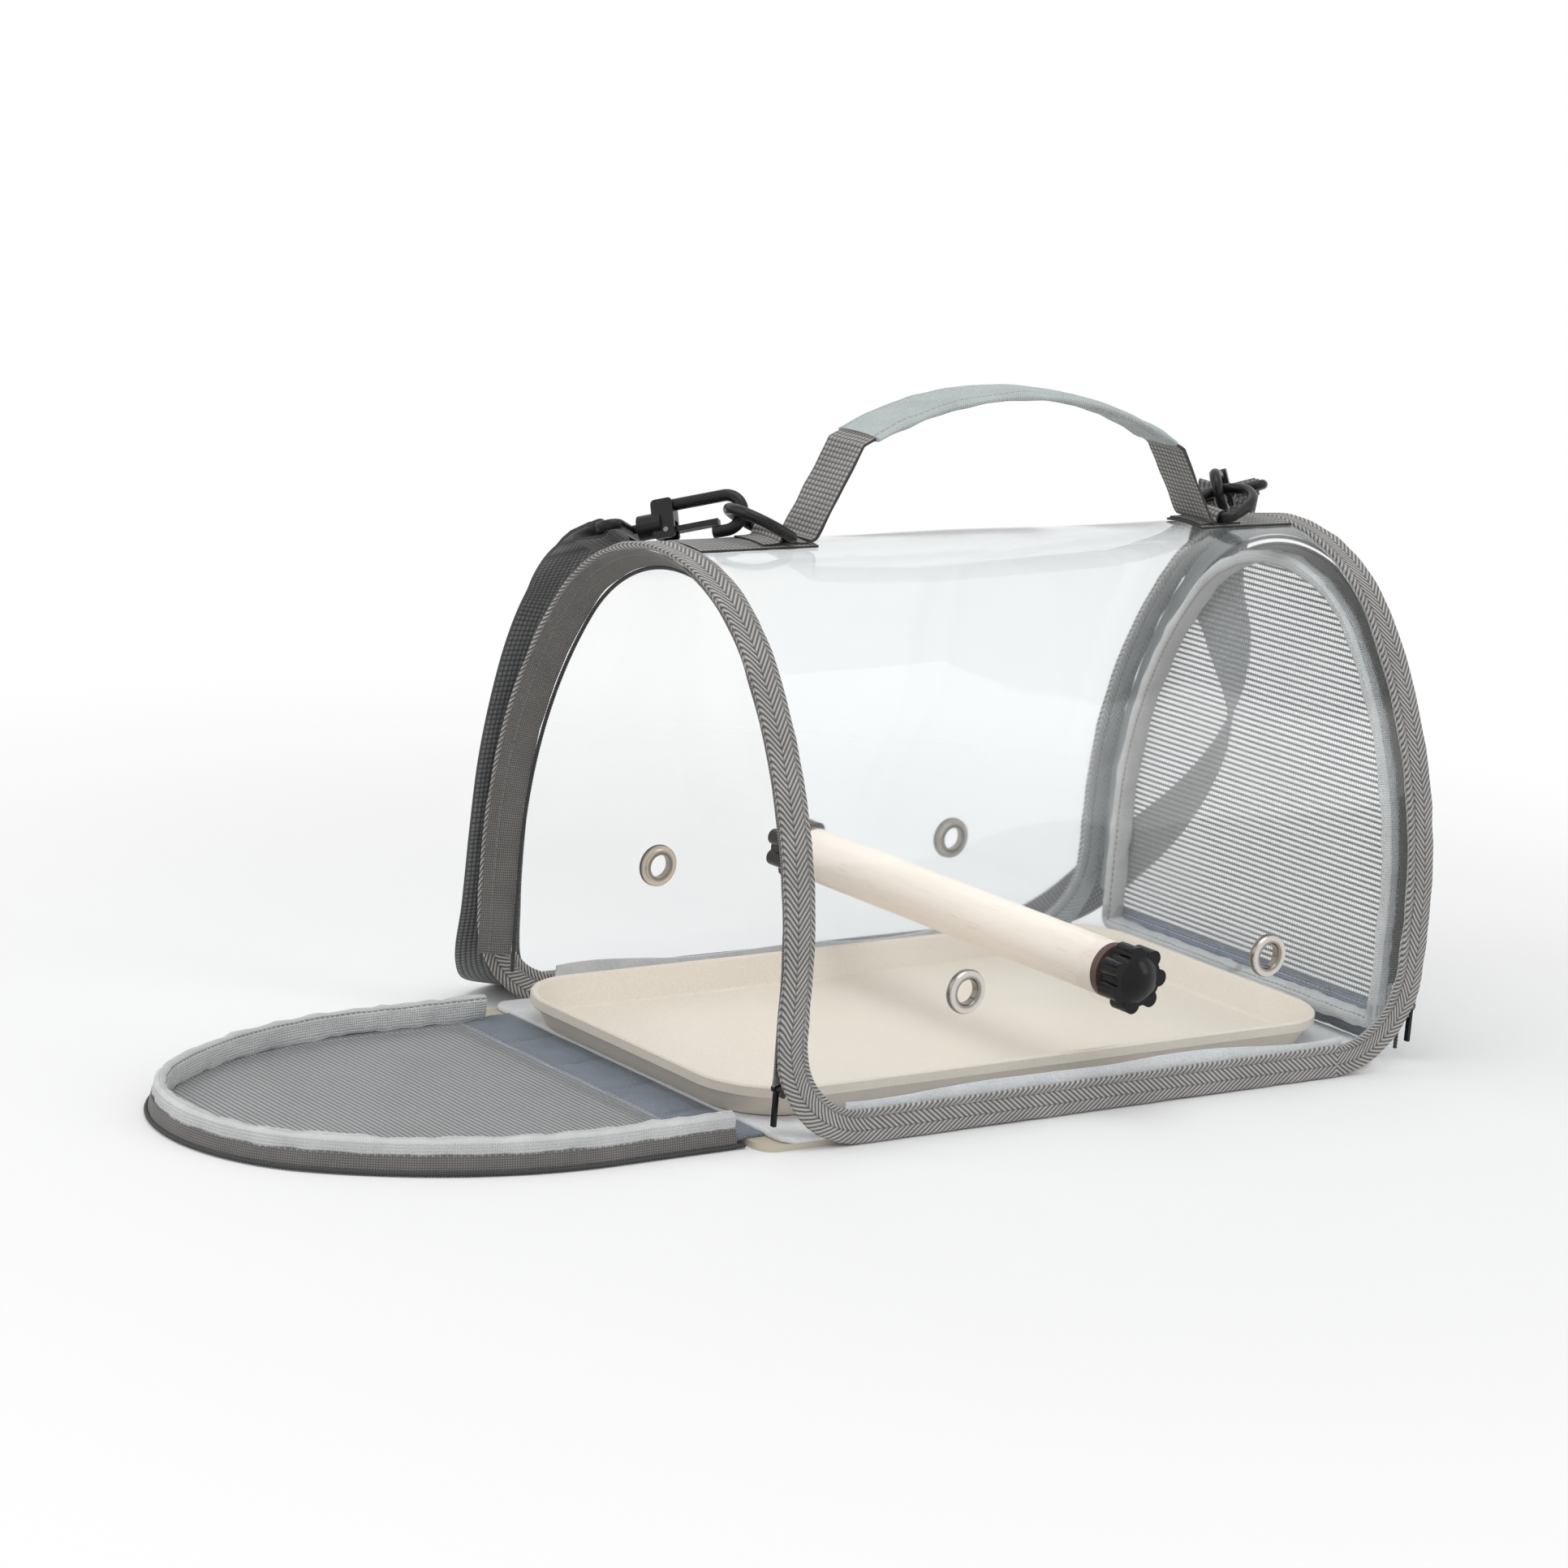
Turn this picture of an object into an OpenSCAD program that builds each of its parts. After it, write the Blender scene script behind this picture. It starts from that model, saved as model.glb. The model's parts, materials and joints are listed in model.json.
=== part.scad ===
// Soft-sided bird travel carrier with a clear arched shell and two zipped end doors.
// The origin is on the floor under the middle of the carrier.
// X runs along the length with the open door at -X, Y across and Z up.

/* [Carrier body] */
// Length of the carrier over its two end bindings
body_l = 376; // [340:2:400]
// Width over the clear side walls
body_w = 232; // [224:2:240]
// Height to the top of the arch
body_h = 240; // [230:2:250]
// Height at which the straight walls turn into the arch
spring_z = 72; // [66:1:80]
// Radius of the top of the arch
crown_r = 90; // [84:1:96]
// Radius of the rounded lower corners of the side walls, seen from the side
corner_r = 50; // [40:1:56]

/* [Base] */
// Thickness of the stiff base board
board_t = 3; // [2:0.5:4]
// Thickness of the padded lining on the board
pad_t = 3; // [2:0.5:3]

/* [Binding and zips] */
// Width of the folded herringbone binding
binding_w = 15; // [12:0.5:18]
// Distance from the arch to the edge of each door
door_inset = 13; // [13:0.5:15]
// Depth that the front zip tape leans into the carrier
front_lean = 14; // [8:1:16]
// Height of the raised rim round each door
rim_h = 15.4; // [12:0.2:15.4]

/* [Perch and eyelets] */
// Diameter of the wooden perch
perch_d = 25; // [18:1:28]
// Height of the eyelets and the perch above the floor
eyelet_z = 63; // [58:1:70]
// Distance from the middle eyelet to each outer one
eyelet_gap = 88; // [70:1:95]
// Diameter of the hole in each eyelet
eyelet_d = 11; // [9:0.5:12]
// Diameter over the lobes of each perch knob
knob_d = 31; // [28:1:34]
// Number of lobes on each perch knob
knob_lobes = 7; // [6:1:8]

/* [Tray] */
// Length of the loose tray
tray_l = 350; // [300:2:352]
// Width of the loose tray
tray_w = 189.5; // [180:0.5:189.5]
// Height of the tray
tray_h = 15.2; // [15.2:0.2:18]
// Corner radius of the tray rim
tray_r = 36; // [34:1:44]

/* [Handle and strap] */
// Height of the middle of the handle above the floor
handle_z = 304; // [290:1:310]
// Width of the handle webbing
handle_w = 25; // [20:1:26]
// Width of the shoulder strap
strap_w = 30; // [25:1:30]

/* [Hidden] */
$fn = 96;
small_fn = 32;
tiny = 0.01;

half_l = body_l / 2;
half_w = body_w / 2;
sheet_t = 0.8;
fabric_t = 1.2;
floor_gap = 0.3;
far = 1000;

// The arch is three arcs that meet smoothly: one crown arc and a wider arc at each side.
crown_z = body_h - crown_r;
arch_rise = crown_z - spring_z;
side_r = (half_w * half_w + arch_rise * arch_rise - crown_r * crown_r) / (2 * (half_w - crown_r));
side_y = side_r - half_w;
arc_angle = atan2(arch_rise, side_y);

board_x = half_l - 0.5;
board_y = half_w - 4;
board_front_r = 8;
board_rear_r = 40;
floor_z = board_t + pad_t;
lining_top = 19;
lining_l = 290;
lining_t = 0.8;
lining_y = half_w - sheet_t - fabric_t;

eyelet_r = eyelet_d / 2;
barrel_r = eyelet_r + 0.8;
flange_r = 10;
flange_t = 1.6;
washer_t = 1;
lip_t = 0.8;
perch_r = perch_d / 2;
end_ring_t = 4;
perch_end = half_w - sheet_t - washer_t - lip_t - end_ring_t;
stud_r = 3;
insert_r = 4.5;
insert_l = 15;
running_gap = 0.05;
knob_t = 11;
knob_back = half_w + flange_t + 0.3;

tray_x = -half_l + 1;
tray_z = floor_z + 0.2;

// A door section is drawn with its outer face at depth 0, and its distance from the arch as -x.
coil_w = 2;
coil_h = 2.2;
rim_in = door_inset + 9.8;
rim_out = door_inset + 3.4;
mesh_h = 3.4;
mesh_t = 0.9;
hinge_depth = 3.7;
hinge_z = hinge_depth + floor_gap;
front_hinge_x = -half_l - 1.5;
rear_hinge_x = half_l - 1;
strip_w = 20;
rim_start = 9;
rim_corner_r = 24;

// The two coils of a zip leave room between them for the wall of the slider.
coil_gap = 1.4;
tape_in = door_inset - coil_gap - coil_w;
rear_coil_depth = -1.4;
slider_l = 9;
slider_gap = 0.15;
slider_wall = 1.1;
front_slider_z = 26;
rear_slider_z = 26;
lug_h = 2.5;
lug_r = 0.8;
pull_l = 17;
pull_w = 2.4;
pull_t = 1.6;
lug_cheek = 0.8;
plate_over = 1.2;
front_lug_inset = tape_in + 2;
rear_lug_inset = tape_in + 1;

// Handle and webbing seen from the side: an arc between two straight legs.
web_t = 1.4;
handle_r = 200;
leg_t = 1.8;
front_arc_a = -26;
rear_arc_a = 30;
front_foot_x = -110;
rear_foot_x = 122;
foot_l = 3;
foot_z = body_h + 1.5 * web_t + 0.3;
wrap_w = 31;
wrap_t = 5;

// D-rings
ring_rod_r = 2.5;
bow_r = 15.5;
bend_r = 3.6;
ring_side = 8.5;
loop_r = 4.2;
ring_z = body_h + loop_r + 0.1;
front_ring_x = -124;
rear_ring_x = 130;
front_ring_lift = 27;
rear_ring_lift = 26;

// Snap hooks, measured from the middle of the ring's rod
front_hook_turn = 60;
rear_hook_turn = 50;
front_hook_drop = 33;
rear_hook_drop = 28;
front_eye_turn = 5;
rear_eye_turn = 0;
hook_rod_r = 2.7;
hook_mid_r = 8;
hook_c = ring_rod_r + 0.3 + hook_rod_r - hook_mid_r;
nose_l = 6;
base_x = -25;
base_l = 10;
base_half = 4;
collar_l = 7;
collar_r = 5.6;
gate_x = -29;
gate_z = -3.6;
gate_root_r = 2.8;
gate_half = 2;
gate_tip_x = -5.5;
gate_pin_r = 1.1;
stem_r = 2.1;
stem_head_r = 3.6;
stem_head_t = 2.4;
stem_head_x = -37.2;
eye_rod_r = 2.4;
eye_half = strap_w / 2 + 3.2;
eye_top_x = -46.5;
eye_x = -56;

strap_t = 1.6;
strap_steps = 4;

function unit(v) = v / norm(v);

// Sweeps a section round the arch. The section's x is its distance outside the arch, and its y runs along X.
module crown_sweep(inset) {
    translate([0, 0, crown_z]) rotate([0, 90, 0]) rotate([0, 0, 90 + arc_angle])
        rotate_extrude(angle = 180 - 2 * arc_angle) translate([crown_r - inset, 0]) children();
}

module side_sweep(inset) {
    translate([0, -side_y, spring_z]) rotate([0, 90, 0]) rotate([0, 0, 90])
        rotate_extrude(angle = arc_angle) translate([side_r - inset, 0]) children();
    translate([0, side_y, spring_z]) rotate([0, 90, 0]) rotate([0, 0, 270 - arc_angle])
        rotate_extrude(angle = arc_angle) translate([side_r - inset, 0]) children();
}

module leg_sweep(inset, z_low) {
    leg_l = spring_z - z_low;
    translate([0, 0, spring_z]) rotate([0, 90, 0]) rotate([0, 0, 90]) rotate([90, 0, 0])
        linear_extrude(leg_l) translate([half_w - inset, 0]) children();
    translate([0, 0, z_low]) rotate([0, 90, 0]) rotate([0, 0, -90]) rotate([90, 0, 0])
        linear_extrude(leg_l) translate([half_w - inset, 0]) children();
}

module arch_sweep(z_low, inset = 0) {
    crown_sweep(inset) children();
    side_sweep(inset) children();
    leg_sweep(inset, z_low) children();
}

// Outline of the arch seen from the end, drawn in by an inset.
module arch_outline(inset, z_low) {
    wide_r = side_r - inset;
    top_r = crown_r - inset;
    y = half_w - inset;
    join_z = crown_z + top_r * sin(arc_angle);
    translate([-y, z_low]) square([2 * y, spring_z - z_low]);
    intersection() {
        translate([-side_y, spring_z]) circle(wide_r);
        translate([side_y, spring_z]) circle(wide_r);
        translate([-y, spring_z - tiny]) square([2 * y, join_z - spring_z + tiny]);
    }
    intersection() {
        translate([0, crown_z]) circle(top_r);
        translate([-y, join_z - tiny]) square([2 * y, far]);
    }
}

// Sweeps a section round the lower front corner of one side wall.
// The section's x is its distance inside the wall's edge, and its y is its distance outside the wall.
module corner_sweep(side) {
    translate([-half_l + corner_r, side * half_w, floor_gap + corner_r]) rotate([-90, 0, 0])
        rotate([0, 0, 90]) mirror([0, 0, side < 0 ? 1 : 0])
            rotate_extrude(angle = 90) translate([corner_r, 0]) mirror([1, 0]) children();
}

module at_rear() {
    mirror([1, 0, 0]) children();
}

module base_board() {
    color("wheat") linear_extrude(board_t) rounded_plan(board_x, board_y, board_front_r, board_rear_r);
}

// Rectangle with two round corners at the front end and two at the rear.
module rounded_plan(x, y, front_r, rear_r) {
    translate([front_r - x, -y]) square([2 * x - front_r - rear_r, 2 * y]);
    translate([-x, front_r - y]) square([x, 2 * (y - front_r)]);
    translate([0, rear_r - y]) square([x, 2 * (y - rear_r)]);
    for (side = [-1, 1]) {
        translate([front_r - x, side * (y - front_r)]) circle(front_r);
        translate([x - rear_r, side * (y - rear_r)]) circle(rear_r);
    }
}

module base_lining() {
    color("white") {
        translate([0, 0, board_t]) linear_extrude(pad_t)
            rounded_plan(board_x - 3, lining_y, board_front_r, board_rear_r - 3);
        for (side = [-1, 1])
            translate([-lining_l / 2, side * (lining_y - lining_t / 2) - lining_t / 2, floor_z - tiny])
                cube([lining_l, lining_t, lining_top - floor_z]);
    }
}

module eyelet_places(xs) {
    for (side = [-1, 1], x = xs)
        translate([x, side * half_w, eyelet_z]) rotate([-90 * side, 0, 0]) children();
}

module shell_corner_cut() {
    cut_r = corner_r - fabric_t;
    translate([-half_l, -far / 2, floor_gap]) difference() {
        translate([-1, 0, -1]) cube([corner_r + 1, far, corner_r + 1]);
        translate([corner_r, -1, corner_r]) rotate([-90, 0, 0]) cylinder(r = cut_r, h = far + 2);
    }
}

// A hollow arch between two insets, standing on its two straight legs.
module arch_band(outer, inner, z_low, x_start, x_end) {
    translate([x_start, 0, 0]) rotate([90, 0, 90]) linear_extrude(x_end - x_start) difference() {
        arch_outline(outer, z_low);
        arch_outline(inner, z_low - 1);
    }
}

module clear_shell() {
    edge = fabric_t;
    color([0.85, 0.93, 0.95, 0.35]) difference() {
        arch_band(0, sheet_t, floor_gap + edge, -half_l + edge, half_l - edge);
        shell_corner_cut();
        at_rear() shell_corner_cut();
        eyelet_places([-eyelet_gap, 0, eyelet_gap]) translate([0, 0, -5]) cylinder(r = barrel_r + 0.1, h = 10);
    }
}

// Folded tape round the edge of the sheet, open where the sheet goes in.
module binding_section() {
    difference() {
        translate([-sheet_t - fabric_t, 0]) square([sheet_t + 2 * fabric_t, binding_w]);
        translate([-sheet_t, fabric_t]) square([sheet_t, binding_w]);
    }
}

module end_binding() {
    low = floor_gap + corner_r;
    color("gray") {
        difference() {
            arch_band(-fabric_t, sheet_t + fabric_t, low, -half_l, -half_l + binding_w);
            arch_band(0, sheet_t, low - 1, -half_l + fabric_t, -half_l + binding_w + 1);
        }
        for (side = [-1, 1])
            corner_sweep(side) rotate([0, 0, 90]) mirror([0, 1]) binding_section();
    }
}

module front_binding() end_binding();

module rear_binding() at_rear() end_binding();

module side_binding() {
    run = body_l - 2 * corner_r;
    color("gray") translate([-run / 2, half_w, floor_gap]) rotate([90, 0, 90])
        linear_extrude(run) binding_section();
}

module far_binding() side_binding();

module near_binding() mirror([0, 1, 0]) side_binding();

// Tape from the binding to the coil, as a strip between two points of the section.
module tape_section(depth_a, depth_b) {
    across = unit([depth_b - depth_a, tape_in]) * fabric_t;
    a = [-sheet_t - fabric_t - max(0, across.x), depth_a];
    b = [-tape_in - min(0, across.x), depth_b];
    polygon([a, b, b + across, a + across]);
}

module coil_section(depth) {
    translate([-tape_in - coil_w, depth - 0.4]) square([coil_w, coil_h]);
}

module front_zip_tape() {
    color("dimgray") arch_sweep(floor_z) translate([0, -half_l]) tape_section(0.3, front_lean);
}

module front_zip_coil() {
    color("black") arch_sweep(floor_z) translate([0, -half_l]) coil_section(front_lean);
}

module rear_zip_tape() {
    color("dimgray") at_rear() arch_sweep(floor_z) translate([0, -half_l]) tape_section(0.3, -0.7);
}

module rear_zip_coil() {
    color("black") at_rear() arch_sweep(floor_z) translate([0, -half_l]) coil_section(rear_coil_depth);
}

module eyelet_profile() {
    dome_r = (flange_r - eyelet_r) / 2;
    inner_end = -sheet_t - washer_t - lip_t;
    translate([eyelet_r, inner_end]) square([barrel_r - eyelet_r, flange_t / 2 - inner_end]);
    translate([eyelet_r, inner_end]) square([2.4, lip_t]);
    intersection() {
        translate([eyelet_r + dome_r, 0]) circle(dome_r);
        square([flange_r, flange_t]);
    }
}

module eyelets() {
    color("silver") eyelet_places([-eyelet_gap, 0, eyelet_gap]) rotate_extrude() eyelet_profile();
}

module eyelet_washers() {
    color("silver") eyelet_places([-eyelet_gap, 0, eyelet_gap]) translate([0, 0, -sheet_t - washer_t])
        difference() {
            cylinder(r = flange_r - 0.2, h = washer_t);
            translate([0, 0, -1]) cylinder(r = barrel_r, h = washer_t + 2);
        }
}

module perch() {
    color("bisque") translate([0, 0, eyelet_z]) rotate([90, 0, 0]) difference() {
        cylinder(r = perch_r, h = 2 * perch_end, center = true);
        for (side = [-1, 1])
            translate([0, 0, side * perch_end - (insert_l + 5) / 2 * side])
                cylinder(r = insert_r, h = insert_l + 5 + tiny, center = true);
    }
}

module perch_ends(start) {
    for (side = [-1, 1])
        translate([0, side * start, eyelet_z]) rotate([-90 * side, 0, 0]) children();
}

module perch_end_rings() {
    color("saddlebrown") perch_ends(perch_end) difference() {
        cylinder(r = perch_r, h = end_ring_t);
        translate([0, 0, -1]) cylinder(r = stud_r + 0.4, h = end_ring_t + 2);
    }
}

module perch_inserts() {
    color("goldenrod") perch_ends(perch_end - insert_l) difference() {
        cylinder(r = insert_r, h = insert_l);
        translate([0, 0, -1]) cylinder(r = stud_r + running_gap, h = insert_l + 2);
    }
}

module knob_shape() {
    lobe_r = 3.9;
    dome_r = 14.5;
    valley_r = knob_d / 2 - 3.5;
    difference() {
        union() {
            linear_extrude(knob_t) {
                circle(valley_r);
                for (i = [0:knob_lobes - 1])
                    rotate(i * 360 / knob_lobes) translate([knob_d / 2 - lobe_r, 0]) circle(lobe_r);
            }
            translate([0, 0, knob_t - 10]) intersection() {
                sphere(dome_r);
                translate([0, 0, 9]) cylinder(r = valley_r - 0.2, h = 10);
            }
        }
        translate([0, 0, -1]) cylinder(r = stud_r, h = 8);
    }
}

module stud_shape() {
    translate([0, 0, perch_end - insert_l - knob_back + 1])
        cylinder(r = stud_r, h = knob_back - perch_end + insert_l + 6);
}

module near_side() {
    translate([0, -knob_back, eyelet_z]) rotate([90, 0, 0]) children();
}

module far_side() {
    translate([0, knob_back, eyelet_z]) rotate([-90, 0, 0]) children();
}

module near_knob() color([0.1, 0.1, 0.1]) near_side() knob_shape();

module far_knob() color([0.1, 0.1, 0.1]) far_side() knob_shape();

module near_stud() color("silver") near_side() stud_shape();

module far_stud() color("silver") far_side() stud_shape();

// Wall of the tray: x is the distance outside the rim's edge, y the height above the tray's underside.
module tray_section() {
    lip_z = tray_h - 5.4;
    polygon([[-12, 0], [-9, 0], [-7.8, 0.5], [-2.6, lip_z], [-0.5, lip_z], [0, lip_z + 0.6], [0, tray_h - 0.7],
             [-0.7, tray_h], [-2, tray_h], [-3.2, tray_h - 0.8], [-9.6, 3], [-12, 2]]);
}

module tray() {
    run_x = tray_l - 2 * tray_r;
    run_y = tray_w - 2 * tray_r;
    floor_r = tray_r - 12;
    color("antiquewhite") translate([tray_x + tray_l / 2, 0, tray_z]) {
        linear_extrude(2) rounded_plan(run_x / 2 + floor_r, run_y / 2 + floor_r, floor_r, floor_r);
        for (i = [0:3])
            rotate(i * 90) {
                x = (i % 2 == 0 ? run_x : run_y) / 2;
                y = (i % 2 == 0 ? run_y : run_x) / 2;
                translate([x, y, 0]) rotate_extrude(angle = 90) translate([tray_r, 0]) tray_section();
                translate([x, y, 0]) rotate([90, 0, 0]) linear_extrude(2 * y)
                    translate([tray_r, 0]) tray_section();
            }
    }
}

// A door is drawn closed with its outer face towards -X at depth 0 and its hinge at the origin height.
module front_closed() {
    translate([front_hinge_x - hinge_depth, 0, 0]) children();
}

module front_open() {
    translate([front_hinge_x, 0, hinge_z]) rotate([0, -90, 0]) translate([-front_hinge_x, 0, -hinge_z])
        front_closed() children();
}

module rear_closed() {
    at_rear() translate([-rear_hinge_x - hinge_depth, 0, 0]) children();
}

module mesh_panel() {
    translate([mesh_h, 0, 0]) rotate([90, 0, 90]) linear_extrude(mesh_t)
        arch_outline(rim_out + 0.6, hinge_z + strip_w);
}

// Rounded bar that stands on the mesh.
module rim_section() {
    round_r = 3;
    w = rim_in - rim_out;
    low = mesh_h + mesh_t;
    h = rim_h - low;
    translate([-rim_in, low]) {
        square([w, h - round_r]);
        translate([round_r, 0]) square([w - 2 * round_r, h]);
        for (x = [round_r, w - round_r])
            translate([x, h - round_r]) circle(round_r);
    }
}

module door_tape_section() {
    translate([-rim_out + tiny, 0.3]) square([fabric_t, 7.7]);
}

module door_coil_section() {
    translate([-door_inset - coil_w, 0]) square([coil_w, coil_h]);
}

module front_rim() {
    color("lightgray") arch_sweep(hinge_z + rim_start) rim_section();
}

// The rear door's rim runs all the way round, with rounded lower corners.
module rear_rim() {
    low = hinge_z + rim_start - rim_out;
    y = half_w - rim_corner_r;
    color("lightgray") {
        arch_sweep(low + rim_corner_r) rim_section();
        for (side = [0, 1])
            mirror([0, side, 0]) translate([0, y, low + rim_corner_r]) rotate([0, 90, 0])
                rotate_extrude(angle = 90) translate([rim_corner_r, 0]) rim_section();
        translate([0, y, low + rim_corner_r]) rotate([0, 90, 0]) rotate([90, 0, 0])
            linear_extrude(2 * y) translate([rim_corner_r, 0]) rim_section();
    }
}

module door_tape(z_low) {
    color("dimgray") arch_sweep(z_low) door_tape_section();
}

module door_coil() {
    color("black") arch_sweep(hinge_z + 2) door_coil_section();
}

module hinge_strip() {
    y = half_w - rim_out - 0.6;
    color("slategray") translate([1.4, -y, hinge_z + 0.6]) cube([mesh_h + mesh_t - 1.4, 2 * y, strip_w - 0.6]);
}

module front_door_mesh() color("gainsboro") front_open() mesh_panel();

module front_door_rim() front_open() front_rim();

module front_door_tape() front_open() door_tape(hinge_z + rim_start);

module front_door_coil() front_open() door_coil();

module front_hinge_strip() front_open() hinge_strip();

module rear_door_mesh() color("gainsboro") rear_closed() mesh_panel();

module rear_door_rim() rear_closed() rear_rim();

module rear_door_tape() rear_closed() door_tape(hinge_z + rim_start + rim_corner_r);

module rear_door_coil() rear_closed() door_coil();

module rear_hinge_strip() rear_closed() hinge_strip();

// Slider that wraps one coil, drawn with the coil running along Z and the outer face towards -X.
// Its outer plate reaches over the tape by the length over.
module slider_body(depth, over) {
    outer = [-tape_in - coil_w - slider_gap - slider_wall, depth - 0.4 - slider_gap - 1];
    inner = [outer.x + slider_wall, outer.y + 1];
    inner_h = coil_h + 2 * slider_gap;
    rotate([0, 90, 0]) rotate([0, 0, 90]) rotate([90, 0, 0]) translate([half_w, 0, -slider_l / 2])
        linear_extrude(slider_l) {
            translate(outer) square([slider_wall, inner_h + 2]);
            translate(outer) square([over - tape_in - outer.x, 1]);
            translate([outer.x, inner.y + inner_h]) square([-tape_in - outer.x, 1]);
        }
}

module zip_lug(depth, inset) {
    face = depth - 1.4 - slider_gap;
    y = half_w - inset;
    for (side = [-1, 1])
        translate([face - lug_h - lug_r, y + side * (pull_w + 1) / 2 - lug_cheek / 2, -lug_r])
            cube([lug_h + lug_r + tiny, lug_cheek, 2 * lug_r]);
    translate([face - lug_h, y, 0]) rotate([90, 0, 0]) cylinder(r = lug_r, h = pull_w + 1, center = true);
}

module zip_slider(depth, z, inset, over = 0) {
    color("dimgray") mirror([0, 1, 0]) translate([-half_l, 0, z]) {
        slider_body(depth, over);
        zip_lug(depth, inset);
    }
}

module zip_pull(depth, z, inset) {
    hole_r = lug_r + 0.3;
    end_r = hole_r + 1;
    x = depth - 1.4 - slider_gap - lug_h;
    color("black") mirror([0, 1, 0]) translate([-half_l + x, half_w - inset, z]) rotate([90, 0, 0])
        translate([0, 0, -pull_w / 2]) difference() {
            union() {
                cylinder(r = end_r, h = pull_w);
                translate([-pull_t / 2, -pull_l, 0]) cube([pull_t, pull_l, pull_w]);
            }
            translate([0, 0, -1]) cylinder(r = hole_r, h = pull_w + 2);
        }
}

module front_zip_slider() zip_slider(front_lean, front_slider_z, front_lug_inset);

module front_zip_pull() zip_pull(front_lean, front_slider_z, front_lug_inset);

module rear_zip_slider() at_rear() zip_slider(rear_coil_depth, rear_slider_z, rear_lug_inset, plate_over);

module rear_zip_pull() at_rear() zip_pull(rear_coil_depth, rear_slider_z, rear_lug_inset);

// Webbing along the top of the arch with a loop for the D-ring.
module webbing_tail(x_start, x_end, x_ring) {
    half_turn = asin(handle_w / 2 / crown_r);
    color("gray") difference() {
        union() {
            translate([0, 0, crown_z]) rotate([0, 90, 0]) rotate([0, 0, 180 - half_turn])
                rotate_extrude(angle = 2 * half_turn)
                    translate([crown_r, x_start]) square([web_t, x_end - x_start]);
            translate([x_ring, 0, ring_z]) rotate([90, 0, 0])
                cylinder(r = loop_r, h = 22, center = true);
        }
        translate([x_ring, 0, ring_z]) rotate([90, 0, 0])
            cylinder(r = ring_rod_r + 0.3, h = handle_w + 10, center = true);
        translate([0, 0, crown_z]) rotate([0, 90, 0]) cylinder(r = crown_r, h = far, center = true);
    }
}

module front_webbing_tail() webbing_tail(-half_l + binding_w + 0.3, -108, front_ring_x);

module rear_webbing_tail() webbing_tail(116, half_l - binding_w - 0.3, rear_ring_x);

// One straight end of the handle strap, from its sewn foot up to the end of the arc, as an outline.
module handle_leg(arc_a, foot_x, side) {
    top = [0, handle_z - handle_r] + handle_r * [sin(arc_a), cos(arc_a)];
    rise = top - [foot_x, foot_z];
    translate([foot_x, foot_z]) rotate(atan2(rise.y, rise.x)) translate([0, -leg_t / 2])
        square([norm(rise) + leg_t, leg_t]);
    translate([foot_x - (side < 0 ? foot_l : web_t), foot_z - web_t / 2]) square([foot_l + web_t, web_t]);
}

// The part of the handle strap that the wrap covers, as an outline.
module handle_arc() {
    intersection() {
        difference() {
            circle(r = handle_r + web_t / 2);
            circle(r = handle_r - web_t / 2);
        }
        polygon([[0, 0], far * [sin(front_arc_a), cos(front_arc_a)], far * [0, 1],
                 far * [sin(rear_arc_a), cos(rear_arc_a)]]);
    }
}

module handle_webbing() {
    color("gray") rotate([90, 0, 0]) linear_extrude(height = handle_w, center = true) {
        translate([0, handle_z - handle_r]) handle_arc();
        handle_leg(front_arc_a, front_foot_x, -1);
        handle_leg(rear_arc_a, rear_foot_x, 1);
    }
}

module wrap_section() {
    difference() {
        union() {
            square([wrap_t, wrap_w - wrap_t], center = true);
            for (side = [-1, 1])
                translate([0, side * (wrap_w - wrap_t) / 2]) circle(d = wrap_t);
        }
        square([web_t + 0.1, handle_w + 0.2], center = true);
    }
}

module handle_wrap() {
    color("lightsteelblue") translate([0, 0, handle_z - handle_r]) rotate([90, 0, 0])
        rotate([0, 0, 90 - rear_arc_a + 2]) rotate_extrude(angle = rear_arc_a - front_arc_a - 4)
            translate([handle_r, 0]) wrap_section();
}

// D-ring with its straight bar on the Y axis and its bow towards -X.
module d_ring() {
    color([0.1, 0.1, 0.1]) {
        rotate([90, 0, 0]) cylinder(r = ring_rod_r, h = 2 * (bow_r - bend_r), center = true);
        for (side = [-1, 1]) {
            translate([-bend_r, side * (bow_r - bend_r), 0]) rotate([0, 0, side > 0 ? 0 : -90])
                rod_bend(ring_rod_r);
            translate([-bend_r, side * bow_r, 0]) rotate([0, -90, 0])
                cylinder(r = ring_rod_r, h = ring_side - bend_r);
        }
        translate([-ring_side, 0, 0]) rotate([0, 0, 90]) rotate_extrude(angle = 180)
            translate([bow_r, 0]) circle(ring_rod_r);
    }
}

module rod_bend(rod_r) {
    rotate_extrude(angle = 90) translate([bend_r, 0]) circle(rod_r);
}

module on_front_ring() {
    translate([front_ring_x, 0, ring_z]) rotate([0, front_ring_lift, 0]) children();
}

module on_rear_ring() {
    at_rear() translate([-rear_ring_x, 0, ring_z]) rotate([0, rear_ring_lift, 0]) children();
}

module on_front_hook() {
    on_front_ring() translate([-ring_side, 0, 0]) rotate([0, 0, -front_hook_turn]) translate([-bow_r, 0, 0])
        rotate([0, -front_hook_drop, 0]) children();
}

module on_rear_hook() {
    on_rear_ring() translate([-ring_side, 0, 0]) rotate([0, 0, -rear_hook_turn]) translate([-bow_r, 0, 0])
        rotate([0, -rear_hook_drop, 0]) children();
}

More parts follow.
